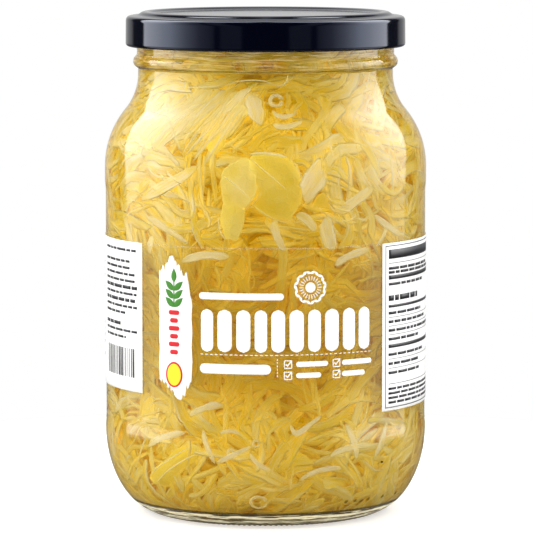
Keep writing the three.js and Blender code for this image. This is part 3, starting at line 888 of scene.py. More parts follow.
def clear_glass_finish(settings):
    """The outside of the glass, with a painted shade line below the bead, painted shade on the heel's mould
    dots, painted glints that glow on the bead, and painted bright and dark lines in the thick foot that stand
    in for reflections."""
    material, nodes = new_finish("clear_glass")
    place = nodes.place()
    x, y, z = nodes.split(place)
    # Painted shade: a thin dark line below the bead, and another over the foot.
    shade_line = nodes.span(abs(z - SHADE_LINE_HEIGHT), 0.00012, 0.0004, 0.85, 0.0)
    foot = nodes.span(z, FOOT_SHADE_HEIGHT - 0.0004, FOOT_SHADE_HEIGHT, 1.0, 0.0)
    line = nodes.span(abs(z - FOOT_SHADE_HEIGHT), 0.0003, 0.0006, 0.95, 0.0)
    streak_place = nodes.vector(x * 110.0, y * 110.0, z * 2600.0)
    streak = nodes.span(nodes.noise(streak_place, 1.0, roughness=0.6), 0.38, 0.62, smooth=True)
    # Painted reflections: bright and dark lines down the thick foot, broken up by the streaks.
    down = (FOOT_SHADE_HEIGHT - z) * (1 / FOOT_SHADE_HEIGHT) + 0.16 * streak - 0.08
    band = nodes.ramp(down, FOOT_LIGHT_STOPS) * 2.0
    painted_foot_colour = nodes.blend(band, (0.01, 0.008, 0.002, 1.0), (0.35, 0.27, 0.05, 1.0))
    colour = nodes.blend(foot, rgba(settings.glass_colour), painted_foot_colour)
    # The painted shade lines darken the glass.
    colour = nodes.blend(shade_line + line, colour, (0.05, 0.045, 0.015, 1.0))
    # Painted shade on the raised mould dots of the heel.
    for spot in heel_spots():
        far = nodes.add("ShaderNodeVectorMath", {"operation": "DISTANCE"}, {0: place, 1: spot})["Value"]
        dot = nodes.span(far, 0.0006, 0.0011, 0.9, 0.0)
        colour = nodes.blend(dot, colour, (0.10, 0.08, 0.02, 1.0))
    # Painted glints: pale streaks that glow on the bead and above, fainter for a few mm below the shade line.
    neck = nodes.span(z, SHADE_LINE_HEIGHT - 0.0004, SHADE_LINE_HEIGHT + 0.0004, 0.12, 1.0)
    high = nodes.span(z, SHADE_LINE_HEIGHT - 0.006, SHADE_LINE_HEIGHT - 0.002)
    painted_glint = nodes.blend(neck * high * streak**3.0, (0.0, 0.0, 0.0, 1.0), (0.22, 0.20, 0.14, 1.0))
    # Painted light: the bright foot lines and the glints glow by emission.
    painted_shine = nodes.blend(foot * (band - 1.0), painted_glint, (0.75, 0.72, 0.52, 1.0))
    normal = nodes.bump(streak * foot, 0.8, 0.0008)
    as_glass(nodes, 1.0, Base_Color=colour, Normal=normal, Emission_Color=painted_shine, Emission_Strength=1.0)
    return material


def brine_finish(settings):
    material, nodes = new_finish("amber_brine")
    liquid = nodes.principled(
        Base_Color=(1.0, 1.0, 1.0, 1.0), Roughness=0.0, IOR=1.34, Transmission_Weight=1.0,
        Specular_Tint=(0.0, 0.0, 0.0, 1.0),
    )
    absorbed = {"Color": rgba(settings.brine_colour), "Density": settings.brine_strength}
    tint = nodes.add("ShaderNodeVolumeAbsorption", None, absorbed)["Volume"]
    nodes.finish(nodes.clear_to_lamps(liquid), tint)
    return material


def lid_finish(settings):
    material, nodes = new_finish("navy_lacquer")
    fleck = nodes.noise(nodes.place(), 900.0)
    normal = nodes.bump(fleck, 0.03, 0.0002)
    smear = nodes.noise(nodes.place(), 60.0)
    colour = nodes.blend(smear, rgba(settings.colour), rgba([c * 1.25 for c in settings.colour]))
    paint = nodes.principled(
        Base_Color=colour, Roughness=0.05 + 0.06 * smear, Coat_Weight=0.15, Coat_Roughness=0.03,
        Specular_Tint=(0.60, 0.70, 1.0, 1.0), Specular_IOR_Level=0.54, Normal=normal
    )
    nodes.finish(paint)
    return material


def film_finish():
    material, nodes = new_finish("clear_film")
    smear = nodes.noise(nodes.place(), 120.0)
    height = nodes.split(nodes.place())[2]
    cut_edge = nodes.span(height, LABEL_HIGH - 0.0004, LABEL_HIGH, 0.005, 0.12)
    roughness = 0.12 + 0.08 * smear
    film = nodes.principled(Base_Color=(0.95, 0.93, 0.85, 1.0), Roughness=roughness, Alpha=cut_edge)
    nodes.finish(film)
    return material


def ink_finish(name, colour, roughness=0.4):
    """Print on film, with a faint mottle, thin enough for light to reach the cabbage behind it."""
    material, nodes = new_finish(name)
    mottle = nodes.noise(nodes.place(), 700.0)
    deep = rgba([c * 0.93 for c in colour])
    tone = nodes.blend(mottle, deep, rgba(colour))
    ink = nodes.principled(Base_Color=tone, Roughness=roughness - 0.1 + 0.2 * mottle)
    nodes.finish(nodes.clear_to_lamps(ink, INK_GLOW))
    return material


def shred_finish(name, pale, golden, streaks):
    """Brined cabbage: straw tones that change from shred to shred, fibres along it, and edges lightened as a
    painted highlight. streaks is the count of fibres across."""
    material, nodes = new_finish(name)
    across, along, tone = nodes.grain()
    fibre_place = nodes.vector(across * streaks + tone * 91.0, along * 0.16, tone * 53.0)
    fibre = nodes.span(nodes.noise(fibre_place, 1.0, roughness=0.6), 0.36, 0.64, smooth=True)
    blotch = nodes.noise(nodes.place(), 150.0)
    edge = abs(across * 2.0 - 1.0) ** 6.0
    share = nodes.ramp(0.65 * tone + 0.75 * fibre + 0.6 * blotch - 0.55, ((0.05, 0.0), (0.8, 1.0)))
    colour = nodes.blend(share, rgba(golden), rgba(pale))
    # Painted highlight: the edges of each shred are lightened towards pale.
    colour = nodes.blend(edge * 0.7, colour, rgba([min(0.98, c * 1.02 + 0.12) for c in pale]))
    return soft_cabbage(material, nodes, colour, nodes.bump(fibre, 0.5, 0.0003), edge)


def leaf_finish(name, pale, golden):
    """A piece of leaf: mottled, with a net of fine paler veins and a rim lightened as a painted highlight."""
    material, nodes = new_finish(name)
    place = nodes.place()
    across, _, tone = nodes.grain()
    rim = abs(across * 2.0 - 1.0) ** 14.0
    blotch = nodes.noise(place, 130.0, 4.0, 0.6)
    cells = {"Vector": place, "Scale": 330.0}
    net = nodes.add("ShaderNodeTexVoronoi", {"feature": "DISTANCE_TO_EDGE"}, cells)["Distance"]
    vein = nodes.span(net, 0.0, 0.09, 1.0, 0.0)
    share = nodes.ramp(tone + 2.2 * blotch - 1.1, ((0.1, 0.0), (0.9, 1.0)))
    colour = nodes.blend(share, rgba(golden), rgba(pale))
    # Paler veins, and a rim lightened as a painted highlight.
    colour = nodes.blend(rim * 0.7 + vein * 0.3, colour, rgba([min(0.98, c + 0.1) for c in pale]))
    return soft_cabbage(material, nodes, colour, nodes.bump(blotch + vein * 0.3, 0.6, 0.0006), rim)


def soft_cabbage(material, nodes, colour, normal, edge):
    """Finishes wet cabbage that lets some light through, with a painted glow: emission that stands in for
    light scattered inside it, most at its thin edges."""
    # Painted glow: emission in place of light scattered inside the cabbage, brightest at the edges.
    glow = nodes.blend(edge, rgba(GLOW_COLOUR), rgba(EDGE_GLOW))
    body = nodes.principled(
        Base_Color=colour, Roughness=0.35, Specular_IOR_Level=0.25, Normal=normal,
        Emission_Color=glow, Emission_Strength=GLOW,
    )
    through = nodes.add("ShaderNodeBsdfTranslucent", None, {"Color": (0.95, 0.88, 0.50, 1.0)})["BSDF"]
    soft = nodes.add("ShaderNodeMixShader", None, {0: 0.4, 1: body, 2: through})["Shader"]
    nodes.finish(nodes.clear_to_lamps(soft, SHRED_GLOW))
    return material


def core_finish(settings):
    material, nodes = new_finish("packed_cabbage")
    lumps = nodes.noise(nodes.place(), 240.0, 4.0, 0.6)
    share = nodes.ramp(lumps, ((0.35, 0.0), (0.65, 1.0)))
    colour = nodes.blend(share, (0.70, 0.57, 0.14, 1.0), rgba([c * 0.88 for c in settings.golden]))
    normal = nodes.bump(lumps, 0.6, 0.001)
    nodes.finish(nodes.principled(Base_Color=colour, Roughness=0.6, Specular_IOR_Level=0.1, Normal=normal))
    return material


# Print on the label


def blot(x, z, length, width, turn=0.0, shape="bar", steps=6, lanes=2, lift=INK):
    """A patch of print on the film, curved with it. x and z are its middle in mm on the unrolled label,
    length runs along turn, in degrees, and shape gives its outline: bar, pill, disc or leaf."""
    s = np.linspace(-1, 1, steps + 1)
    if shape == "bar":
        half = np.ones_like(s)
    elif shape == "pill":
        corner = min(1.0, width / length)
        s = np.concatenate(([-1], np.linspace(-1, -1 + corner, 5)[1:], np.linspace(1 - corner, 1, 5)))
        s = np.unique(np.concatenate((s, np.linspace(-1 + corner, 1 - corner, steps + 1))))
        past = np.clip((np.abs(s) - 1 + corner) / corner, 0, 1)
        half = np.maximum(np.sqrt(1 - past**2), 0.05)
    elif shape == "disc":
        s = np.sin(s * math.pi / 2)
        half = np.maximum(np.sqrt(1 - s**2), 0.03)
    elif shape == "leaf":
        half = np.maximum((1 - s**2) * (1 - 0.25 * s), 0.03)
    else:
        raise ValueError(f"unknown shape {shape}")
    across = np.linspace(-1, 1, lanes + 1)
    p = np.broadcast_to(s[:, None] * length / 2, (len(s), lanes + 1))
    q = half[:, None] * across[None, :] * width / 2
    c, d = math.cos(math.radians(turn)), math.sin(math.radians(turn))
    return printed(x + p * c - q * d, z + p * d + q * c, lift)


def printed(x, z, lift):
    """A grid of places on the unrolled label as a thin slab on the film."""
    a = x / (FILM_OUTER * 1000)

    def on_film(radius):
        return np.stack((radius * np.sin(a), -radius * np.cos(a), z / 1000), axis=-1)

    low = FILM_OUTER + lift * 0.2
    return slab(on_film(low + lift)[:, ::-1], on_film(low)[:, ::-1])


def brushed(x, width, tops, bottoms, bristles=58, lanes=10):
    """An upright stroke of a broad brush. tops and bottoms give its ragged ends: share of its width, and
    height in mm."""
    rng = np.random.default_rng(7)
    share = np.linspace(0, 1, bristles)
    fray = np.repeat(rng.random(bristles // 2), 2) ** 2
    top = np.interp(share, *zip(*tops)) - 2.2 * fray
    bottom = np.interp(share, *zip(*bottoms)) + 2.2 * np.roll(fray, 9)
    across = np.linspace(0, 1, lanes + 1)
    z = bottom[:, None] + (top - bottom)[:, None] * across
    px = np.broadcast_to((x + (share - 0.5) * width)[:, None], z.shape)
    sway = 0.16 * np.sin(z / 1.7 + 40 * share[:, None]) * np.abs(2 * share[:, None] - 1) ** 3
    return printed(px + sway, z, INK)


def at_angle(degrees):
    """Degrees round from the front as mm along the film."""
    return math.radians(degrees) * FILM_OUTER * 1000


def field(left, right, low, high, **more):
    """An upright oblong of print between two angles and two heights in mm."""
    x0, x1 = at_angle(left), at_angle(right)
    steps = max(2, int(abs(x1 - x0) / 1.6))
    return blot((x0 + x1) / 2, (low + high) / 2, x1 - x0, high - low, steps=steps, **more)


def wreath(x, z, radius):
    """A plain seal: a ring of small leaves round a disc with rays."""
    parts = [blot(x, z, radius * 0.62, radius * 0.62, shape="disc", steps=14, lanes=6)]
    for i in range(22):
        turn = 360 * i / 22
        right, up = radius * math.cos(math.radians(turn)), radius * math.sin(math.radians(turn))
        lean = turn + (120 if i % 2 else 60)
        parts.append(blot(x + 0.9 * right, z + 0.9 * up, radius * 0.36, radius * 0.17, lean, "leaf"))
        parts.append(blot(x + 0.56 * right, z + 0.56 * up, radius * 0.26, radius * 0.05, turn))
    return parts


def tick_box(x, z, size):
    """A ticked square in outline."""
    half, line = size / 2, size * 0.13
    return [
        blot(x - half, z, size, line, 90, steps=2, lanes=1),
        blot(x + half, z, size, line, 90, steps=2, lanes=1),
        blot(x, z - half, size, line, 0, steps=2, lanes=1),
        blot(x, z + half, size, line, 0, steps=2, lanes=1),
        blot(x - half * 0.35, z - half * 0.2, size * 0.42, line * 1.3, -48, steps=2, lanes=1),
        blot(x + half * 0.45, z + half * 0.35, size * 0.95, line * 1.3, 52, steps=2, lanes=1),
    ]


def white_print():
    """The light print on the clear front: a block title, pills for lines, a seal and tick boxes."""
    parts = []
    edges = np.cumsum([0, 6.1, 6.9, 6.6, 5.8, 6.4, 6.8, 6.2, 7.0, 6.6, 6.4])
    scale = (at_angle(39.8) - at_angle(-23.6)) / edges[-1]
    for a, b in zip(edges, edges[1:]):
        x0, x1 = at_angle(-23.6) + a * scale, at_angle(-23.6) + b * scale
        parts.append(blot((x0 + x1) / 2, 74.6, 15.6, (x1 - x0) * 0.76, 90, "pill", steps=4, lanes=4))
    parts.append(blot(at_angle(-8.6), 87.2, 31.5, 2.5, 0, "pill", steps=20))
    parts += wreath(at_angle(15.7), 90.4, 6.1)
    for i in range(36):
        parts.append(blot(at_angle(-23.4 + 63.4 * (i + 0.5) / 36), 65.9, 1.1, 0.28, 0, steps=1, lanes=1))
    parts.append(blot(at_angle(-10.7), 60.7, 26.6, 3.6, 0, "pill", steps=18))
    for i in range(6):
        parts.append(blot(at_angle(4.1), 64.3 - i * 1.2, 0.7, 0.28, 90, steps=1, lanes=1))
    for box, first, last, height in TICK_ROWS:
        parts += tick_box(at_angle(box), height, 2.7)
        middle, length = at_angle((first + last) / 2), at_angle(last - first)
        parts.append(blot(middle, height, length, 1.9, 0, "pill", steps=10))
    return parts


def words(left, right, height, tall, rng):
    """A line of small print as dashes between two angles."""
    parts = []
    while left < right - 1.0:
        last = min(right, left + rng.uniform(2.2, 7.0))
        parts.append(field(left, last, height - tall, height + tall, lanes=1))
        left = last + 0.7
    return parts


def side_text(rng):
    """Three blocks of small print on the left panel."""
    parts = []
    for block, (left, right) in enumerate(((-78.0, -51.5), (-124.0, -86.0), (-166.0, -132.0))):
        height = 101.5
        while height > (69.0 if block == 0 else 54.0):
            last = right - (right - left) * 0.45 * rng.random() ** 2
            parts += words(left, last, height, 0.62 if rng.random() < 0.35 else 0.45, rng)
            height -= 2.4 if rng.random() < 0.8 else 4.2
    return parts


def striped_block(rng):
    """Upright stripes below the first block of small print."""
    parts = []
    stripe = -76.0
    while stripe < -53.5:
        wide = float(rng.choice((0.35, 0.6, 0.95)))
        parts.append(field(stripe, stripe + wide, 54.5, 65.2, lanes=1))
        stripe += wide + float(rng.choice((0.4, 0.7, 1.0)))
    return parts


def plain_table(rng):
    """A ruled table on the right panel, with dashes for its words."""
    parts = []
    left, right = 47.0, 104.0
    for low, high in ((103.55, 103.85), (43.85, 44.15)):
        parts.append(field(left, right, low, high))
    for side in (left, right):
        parts.append(field(side - 0.15, side + 0.15, 43.85, 103.85, lanes=1))
    inner, outer = left + 1.6, right - 1.6
    parts.append(field(inner, outer, 98.9, 102.3))
    for low, high in ((97.2, 97.4), (91.3, 92.8), (80.9, 81.9), (66.0, 67.3), (52.6, 52.8)):
        parts.append(field(inner, outer, low, high))
    for row, tall, share in TABLE_ROWS:
        parts += words(inner, inner + (outer - inner) * share, row, tall, rng)
        if row < 90:
            parts.append(field(outer - 5.5, outer, row - tall, row + tall))
    for row in (77.3, 74.1, 70.9, 61.9, 58.5):
        parts.append(field(inner, outer, row - 0.08, row + 0.08))
    for row in (50.9, 49.2, 47.5, 45.8):
        parts += words(inner, outer - 8 * rng.random(), row, 0.45, rng)
    return parts


def back_text(rng):
    """A block of small print on the right panel, behind the table."""
    parts = []
    height = 101.0
    while height > 48.0:
        parts += words(114.0, 160.0 - 14.0 * rng.random() ** 2, height, 0.45, rng)
        height -= 2.5 if rng.random() < 0.85 else 5.0
    return parts


def panel_print():
    """The dark print on the white side panels."""
    rng = np.random.default_rng(11)
    return side_text(rng) + striped_block(rng) + plain_table(rng) + back_text(rng)


# Settings


class JarSettings(PropertyGroup):
    wall: FloatProperty(name="Wall", description="Thickness of the glass", default=0.0025, unit="LENGTH")
    floor: FloatProperty(
        name="Floor", description="Inside floor above the table", default=0.0052, unit="LENGTH"
    )
    glass_colour: FloatVectorProperty(
        name="Glass", description="Tint of the glass", default=(0.985, 0.995, 0.985), subtype="COLOR"
    )


class LidSettings(PropertyGroup):
    colour: FloatVectorProperty(
        name="Lacquer", description="Colour of the lid", default=(0.0008, 0.0012, 0.0045), subtype="COLOR"
    )


class LabelSettings(PropertyGroup):
    white: FloatVectorProperty(
        name="White", description="White print and panels", default=(0.90, 0.90, 0.89), subtype="COLOR"
    )
    ink: FloatVectorProperty(
        name="Ink", description="Dark print", default=(0.012, 0.012, 0.014), subtype="COLOR"
    )
    accent: FloatVectorProperty(
        name="Accent", description="Warm mark on the white field", default=(0.62, 0.01, 0.02), subtype="COLOR"
    )
    green: FloatVectorProperty(
        name="Green", description="Leaf mark on the white field", default=(0.05, 0.22, 0.02), subtype="COLOR"
    )
    yellow: FloatVectorProperty(
        name="Yellow", description="Disc on the white field", default=(0.85, 0.72, 0.02), subtype="COLOR"
    )


class CabbageSettings(PropertyGroup):
    seed: IntProperty(name="Seed", description="Start of the random draw", default=23)
    fine: IntProperty(name="Fine shreds", description="How many thin shreds", default=1000)
    medium: IntProperty(name="Shreds", description="How many middling shreds", default=1800)
    deep: IntProperty(name="Deep shreds", description="How many shreds lie deeper", default=900)
    broad: IntProperty(name="Broad shreds", description="How many broad shreds", default=850)
    flakes: IntProperty(name="Leaf pieces", description="How many small pieces of leaf", default=80)
    pale: FloatVectorProperty(
        name="Pale", description="Palest cabbage", default=(0.97, 0.93, 0.86), subtype="COLOR"
    )
    golden: FloatVectorProperty(
        name="Golden", description="Deepest cabbage", default=(0.92, 0.77, 0.13), subtype="COLOR"
    )
    yellow: FloatVectorProperty(
        name="Yellow", description="Yellow inner leaves", default=(0.90, 0.77, 0.13), subtype="COLOR"
    )
    brine_colour: FloatVectorProperty(
        name="Brine", description="Light that brine passes", default=(0.935, 0.855, 0.21), subtype="COLOR"
    )
    brine_strength: FloatProperty(
        name="Brine strength", description="Absorption of the brine per metre", default=260.0
    )


class StageSettings(PropertyGroup):
    distance: FloatProperty(
        name="Distance", description="Camera to the jar's axis", default=1.5226, unit="LENGTH"
    )
    height: FloatProperty(name="Height", description="Camera above the table", default=0.2493, unit="LENGTH")
    offset: FloatProperty(name="Offset", description="Camera to the right", default=0.00037, unit="LENGTH")
    pitch: FloatProperty(name="Pitch", description="Camera looks down by", default=0.1029, unit="ROTATION")
    lens: FloatProperty(name="Lens", description="Focal length in mm on a 36 mm sensor", default=274.9)
    softbox: FloatProperty(name="Softbox", description="Brightness of the side and top lamps", default=1.12)
    front: FloatProperty(name="Front", description="Brightness of the front lamp", default=1.25)
    mirrored: FloatProperty(name="Mirrored", description="Brightest part of the room in mirrors", default=3.4)
    ambient: FloatProperty(name="Ambient", description="Brightness of the room", default=0.75)


# Operators


class KRAUT_OT_glass(Operator):
    """Build the glass jar, with its foot ring, heel marks and neck bead"""

    bl_idname = "kraut.glass"
    bl_label = "Glass jar"

    def execute(self, context):
        settings = context.scene.kraut_jar
        outside = jar_outside()
        inside = jar_inside(settings.wall, settings.floor)[::-1]
        around = KNURLS * 3
        verts, faces = turned(joined(outside, inside), around)
        verts = self.foot_knurls(verts)
        verts = self.heel_dots(verts)
        wet = np.zeros(sum(len(f) for f in faces), dtype=int)
        wet[(len(outside) - 1) * around:len(faces[0])] = 1
        wet[-around:] = 1
        inner = (wet_glass_finish(settings), wet)
        make_piece("glass_jar", verts, faces, clear_glass_finish(settings), "jar", inner=inner)
        return {"FINISHED"}

    @staticmethod
    def foot_knurls(verts):
        """Small notches round the ring that the jar stands on."""
        r = np.hypot(verts[:, 0], verts[:, 1])
        angle = np.arctan2(verts[:, 0], -verts[:, 1])
        on_ring = np.clip((r - FOOT_INNER) / 0.0006, 0, 1) * np.clip((FOOT_OUTER + 0.0055 - r) / 0.002, 0, 1)
        on_ring = on_ring * (verts[:, 2] < 0.0022)
        verts[:, 2] += on_ring * KNURL_DEPTH * (0.5 - 0.5 * np.cos(KNURLS * angle))
        return verts

    @staticmethod
    def heel_dots(verts):
        """Raised mould dots low on the right."""
        r = np.hypot(verts[:, 0], verts[:, 1])
        for spot in heel_spots():
            near = np.exp(-np.sum((verts - spot) ** 2, axis=1) / (2 * HEEL_DOT_SIZE**2))
            verts[:, :2] *= (1 + HEEL_DOT_RISE * near / np.maximum(r, 1e-6))[:, None]
        return verts


class KRAUT_OT_lid(Operator):
    """Build the sheet-metal lid with its sunk middle, raised rim, ledge and rolled edge"""

    bl_idname = "kraut.lid"
    bl_label = "Lid"

    def execute(self, context):
        skirt = LID_RADIUS - LID_SHEET
        corner, roll = 0.0016, 0.0012
        profile = joined(
            (0, LID_PANEL),
            rounded((
                (0.040, LID_PANEL, 0),
                (0.0421, LID_PANEL, 0.0008),
                (0.0439, LID_HIGH, 0.0009),
                (0.0460, LID_HIGH, 0.0009),
                (0.0477, LID_LEDGE + 0.0006, 0.0007),
                (LID_RADIUS - 0.0001, LID_LEDGE, corner),
                (LID_RADIUS, LID_LOW + roll + 0.0002, 0),
            )),
            arc(LID_RADIUS - roll, LID_LOW + roll, roll, roll, 0, -180, 16),
            (skirt - 0.0003, LID_LOW + 0.0019),
            (skirt, LID_LOW + 0.0024),
            (skirt, LID_LEDGE - corner),
            (LID_RADIUS - corner, LID_LEDGE - LID_SHEET),
            (0.0482, LID_LEDGE + 0.0005 - LID_SHEET),
            (0.0454, LID_HIGH - LID_SHEET),
            (0.0424, LID_PANEL - LID_SHEET),
            (0, LID_PANEL - LID_SHEET),
        )
        verts, faces = turned(profile[::-1], 216)
        make_piece("metal_lid", verts, faces, lid_finish(context.scene.kraut_lid), "lid")
        return {"FINISHED"}


class KRAUT_OT_label(Operator):
    """Build the film label and its print as fields and simple shapes"""

    bl_idname = "kraut.label"
    bl_label = "Label"

    def execute(self, context):
        settings = context.scene.kraut_label
        angles = np.radians(np.linspace(LABEL_END, -LABEL_END, 277))
        heights = np.linspace(LABEL_LOW, LABEL_HIGH, 5)

        def shell(radius):
            a, z = np.meshgrid(angles, heights, indexing="ij")
            return np.stack((radius * np.sin(a), -radius * np.cos(a), z), axis=-1)

        verts, quads = slab(shell(FILM_OUTER), shell(FILM_INNER))
        make_piece("label_film", verts, [quads], film_finish(), "label")

        low, high = LABEL_LOW * 1000, LABEL_HIGH * 1000
        white = ink_finish("white_print", settings.white)
        panels = [
            field(-LABEL_END, -48.6, 49.4, high, lanes=12),
            field(45.2, LABEL_END, low, high, lanes=12),
            brushed(at_angle(-33.2), 14.4, BRUSH_TOPS, BRUSH_BOTTOMS),
        ]
        self.print_piece("label_panels", panels, white)
        self.print_piece("label_white_print", white_print(), white)
        self.print_piece("label_dark_print", panel_print(), ink_finish("dark_print", settings.ink), OVER_INK)
        middle = at_angle(-33.6)
        mark = [
            blot(middle, 80.4 - 2.9 * i, 4.8 - 1.2 * (i % 2), 1.7, 0, "pill", steps=6, lanes=4, lift=OVER_INK)
            for i in range(6)
        ]
        mark.append(blot(middle, 57.6, 9.4, 7.4, 90, "disc", steps=20, lanes=8, lift=OVER_INK))
        self.print_piece("label_accent_print", mark, ink_finish("accent_print", settings.accent))
        sprig = [
            blot(middle + side * 1.9, 84.2 + 3.0 * i, 5.2, 2.3, 90 - side * 48, "leaf", 10, 4, OVER_INK)
            for i in range(3)
            for side in (-1, 1)
        ]
        sprig.append(blot(middle, 94.0, 5.2, 2.3, 90, "leaf", 10, 4, OVER_INK))
        sprig.append(blot(middle, 87.4, 9.6, 0.5, 90, "bar", 4, 1, 0.00007))
        self.print_piece("label_green_print", sprig, ink_finish("green_print", settings.green))
        disc = [blot(middle, 57.6, 8.0, 6.0, 90, "disc", 20, 8, 0.00009)]
        self.print_piece("label_yellow_print", disc, ink_finish("yellow_print", settings.yellow))
        return {"FINISHED"}

    @staticmethod
    def print_piece(name, parts, material, raised=0.0):
        verts, quads = gathered(parts)
        if raised:
            r = np.hypot(verts[:, 0], verts[:, 1])
            verts[:, :2] *= (1 + raised / r)[:, None]
        make_piece(name, verts, [quads], material)


class KRAUT_OT_core(Operator):
    """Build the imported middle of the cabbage, lumpy and set in from the glass"""

    bl_idname = "kraut.core"
    bl_label = "Packed middle"

    def execute(self, context):
        jar = context.scene.kraut_jar
        settings = context.scene.kraut_cabbage
        wall = Wall(jar.wall, jar.floor)
        t = np.linspace(0, wall.t_at(CORE_TOP), 100)
        depth = np.interp(t, (wall.t_at(0.12), wall.t_at(0.165)), (0.0060, 0.0035))
        side = np.column_stack(wall.inset(t, depth))
        side = side[(side[:, 0] > 0.001) & (side[:, 1] > jar.floor)]
        top_r, top_z = side[-1]
        profile = joined((0, side[0, 1]), side, (top_r * 0.6, top_z + 0.0005), (0, top_z + 0.0008))
        verts, faces = turned(profile, 150)
        rng = np.random.default_rng(settings.seed)
        lumps = np.zeros(len(verts))
        for _ in range(46):
            way = rng.normal(0, 1, 3)
            way *= rng.uniform(500, 1500) / np.linalg.norm(way)
            lumps += np.sin(verts @ way + rng.uniform(*ANY_PHASE))
        lumps *= 0.0011 / lumps.std()
        r = np.hypot(verts[:, 0], verts[:, 1])
        sunk = pressed(wall, np.arctan2(verts[:, 0], -verts[:, 1]), wall.t_at(verts[:, 2])) * (r > 0.03)
        verts[:, :2] *= (1 + (np.clip(lumps, -0.003, 0.0026) - sunk) / np.maximum(r, 0.01))[:, None]
        make_piece("cabbage_core", verts, faces, core_finish(settings), "sauerkraut")
        return {"FINISHED"}


class KRAUT_OT_shreds(Operator):
    """Build the shreds, in bundles against the glass and behind them"""

    bl_idname = "kraut.shreds"
    bl_label = "Shreds"

    def execute(self, context):
        jar = context.scene.kraut_jar
        settings = context.scene.kraut_cabbage
        wall = Wall(jar.wall, jar.floor)
        rng = np.random.default_rng(settings.seed)
        pale, golden = settings.pale, settings.golden
        fine = shred_finish("fine_shred", pale, golden, 2.0)
        straw = shred_finish("straw_shred", pale, golden, 4.0)
        # Painted shade: the deeper shreds take a darker copy of the straw finish.
        sunk = shred_finish("sunk_shred", [c * 0.9 for c in pale], [c * 0.85 for c in golden], 4.0)
        broad = shred_finish("broad_shred", pale, golden, 9.0)
        ribbed = shred_finish("ribbed_shred", pale, golden, 20.0)
        kinds = (
            ("deep_shreds", sunk, settings.deep, (14, 30), (2.4, 5.0), (2.8, 5.2), (0.5, 0.9), 0.7, 5, 6),
            ("shreds", straw, settings.medium, (11, 27), (1.4, 3.2), (0.6, 2.8), (0.3, 0.5), 0.8, 8, 6),
            ("fine_shreds", fine, settings.fine, (9, 23), (0.6, 1.4), (0.4, 2.0), (0.25, 0.45), 0.9, 8, 6),
            ("broad_shreds", broad, settings.broad, (14, 30), (2.6, 5.4), (0.5, 2.4), (0.3, 0.5), 0.6, 4, 10),
        )
        for name, finish, count, length, width, depth, thick, bend, clump, sides in kinds:
            length, width, depth, thick = (np.array(span) / 1000 for span in (length, width, depth, thick))
            verts, faces, grain = shred_paths(
                wall, rng, count, length, width, depth, thick, bend, clump, sides=sides
            )
            make_piece(name, verts, faces, finish, grain=grain)
        verts, faces, grain = pooled([strands(wall, PLACED_SHREDS, rng), curled(wall, CURLS)])
        make_piece("front_shreds", verts, faces, broad, grain=grain)
        verts, faces, grain = strands(wall, neck_fan(rng), rng)
        make_piece("ribbed_shreds", verts, faces, ribbed, grain=grain)
        verts, faces, grain = strands(wall, PLACED_VEINS, rng, thick=0.0005, cup=0.0, sides=6)
        vein = shred_finish("leaf_vein", [0.98, 0.97, 0.86], [0.96, 0.93, 0.70], 2.0)
        make_piece("leaf_veins", verts, faces, vein, grain=grain)
        return {"FINISHED"}


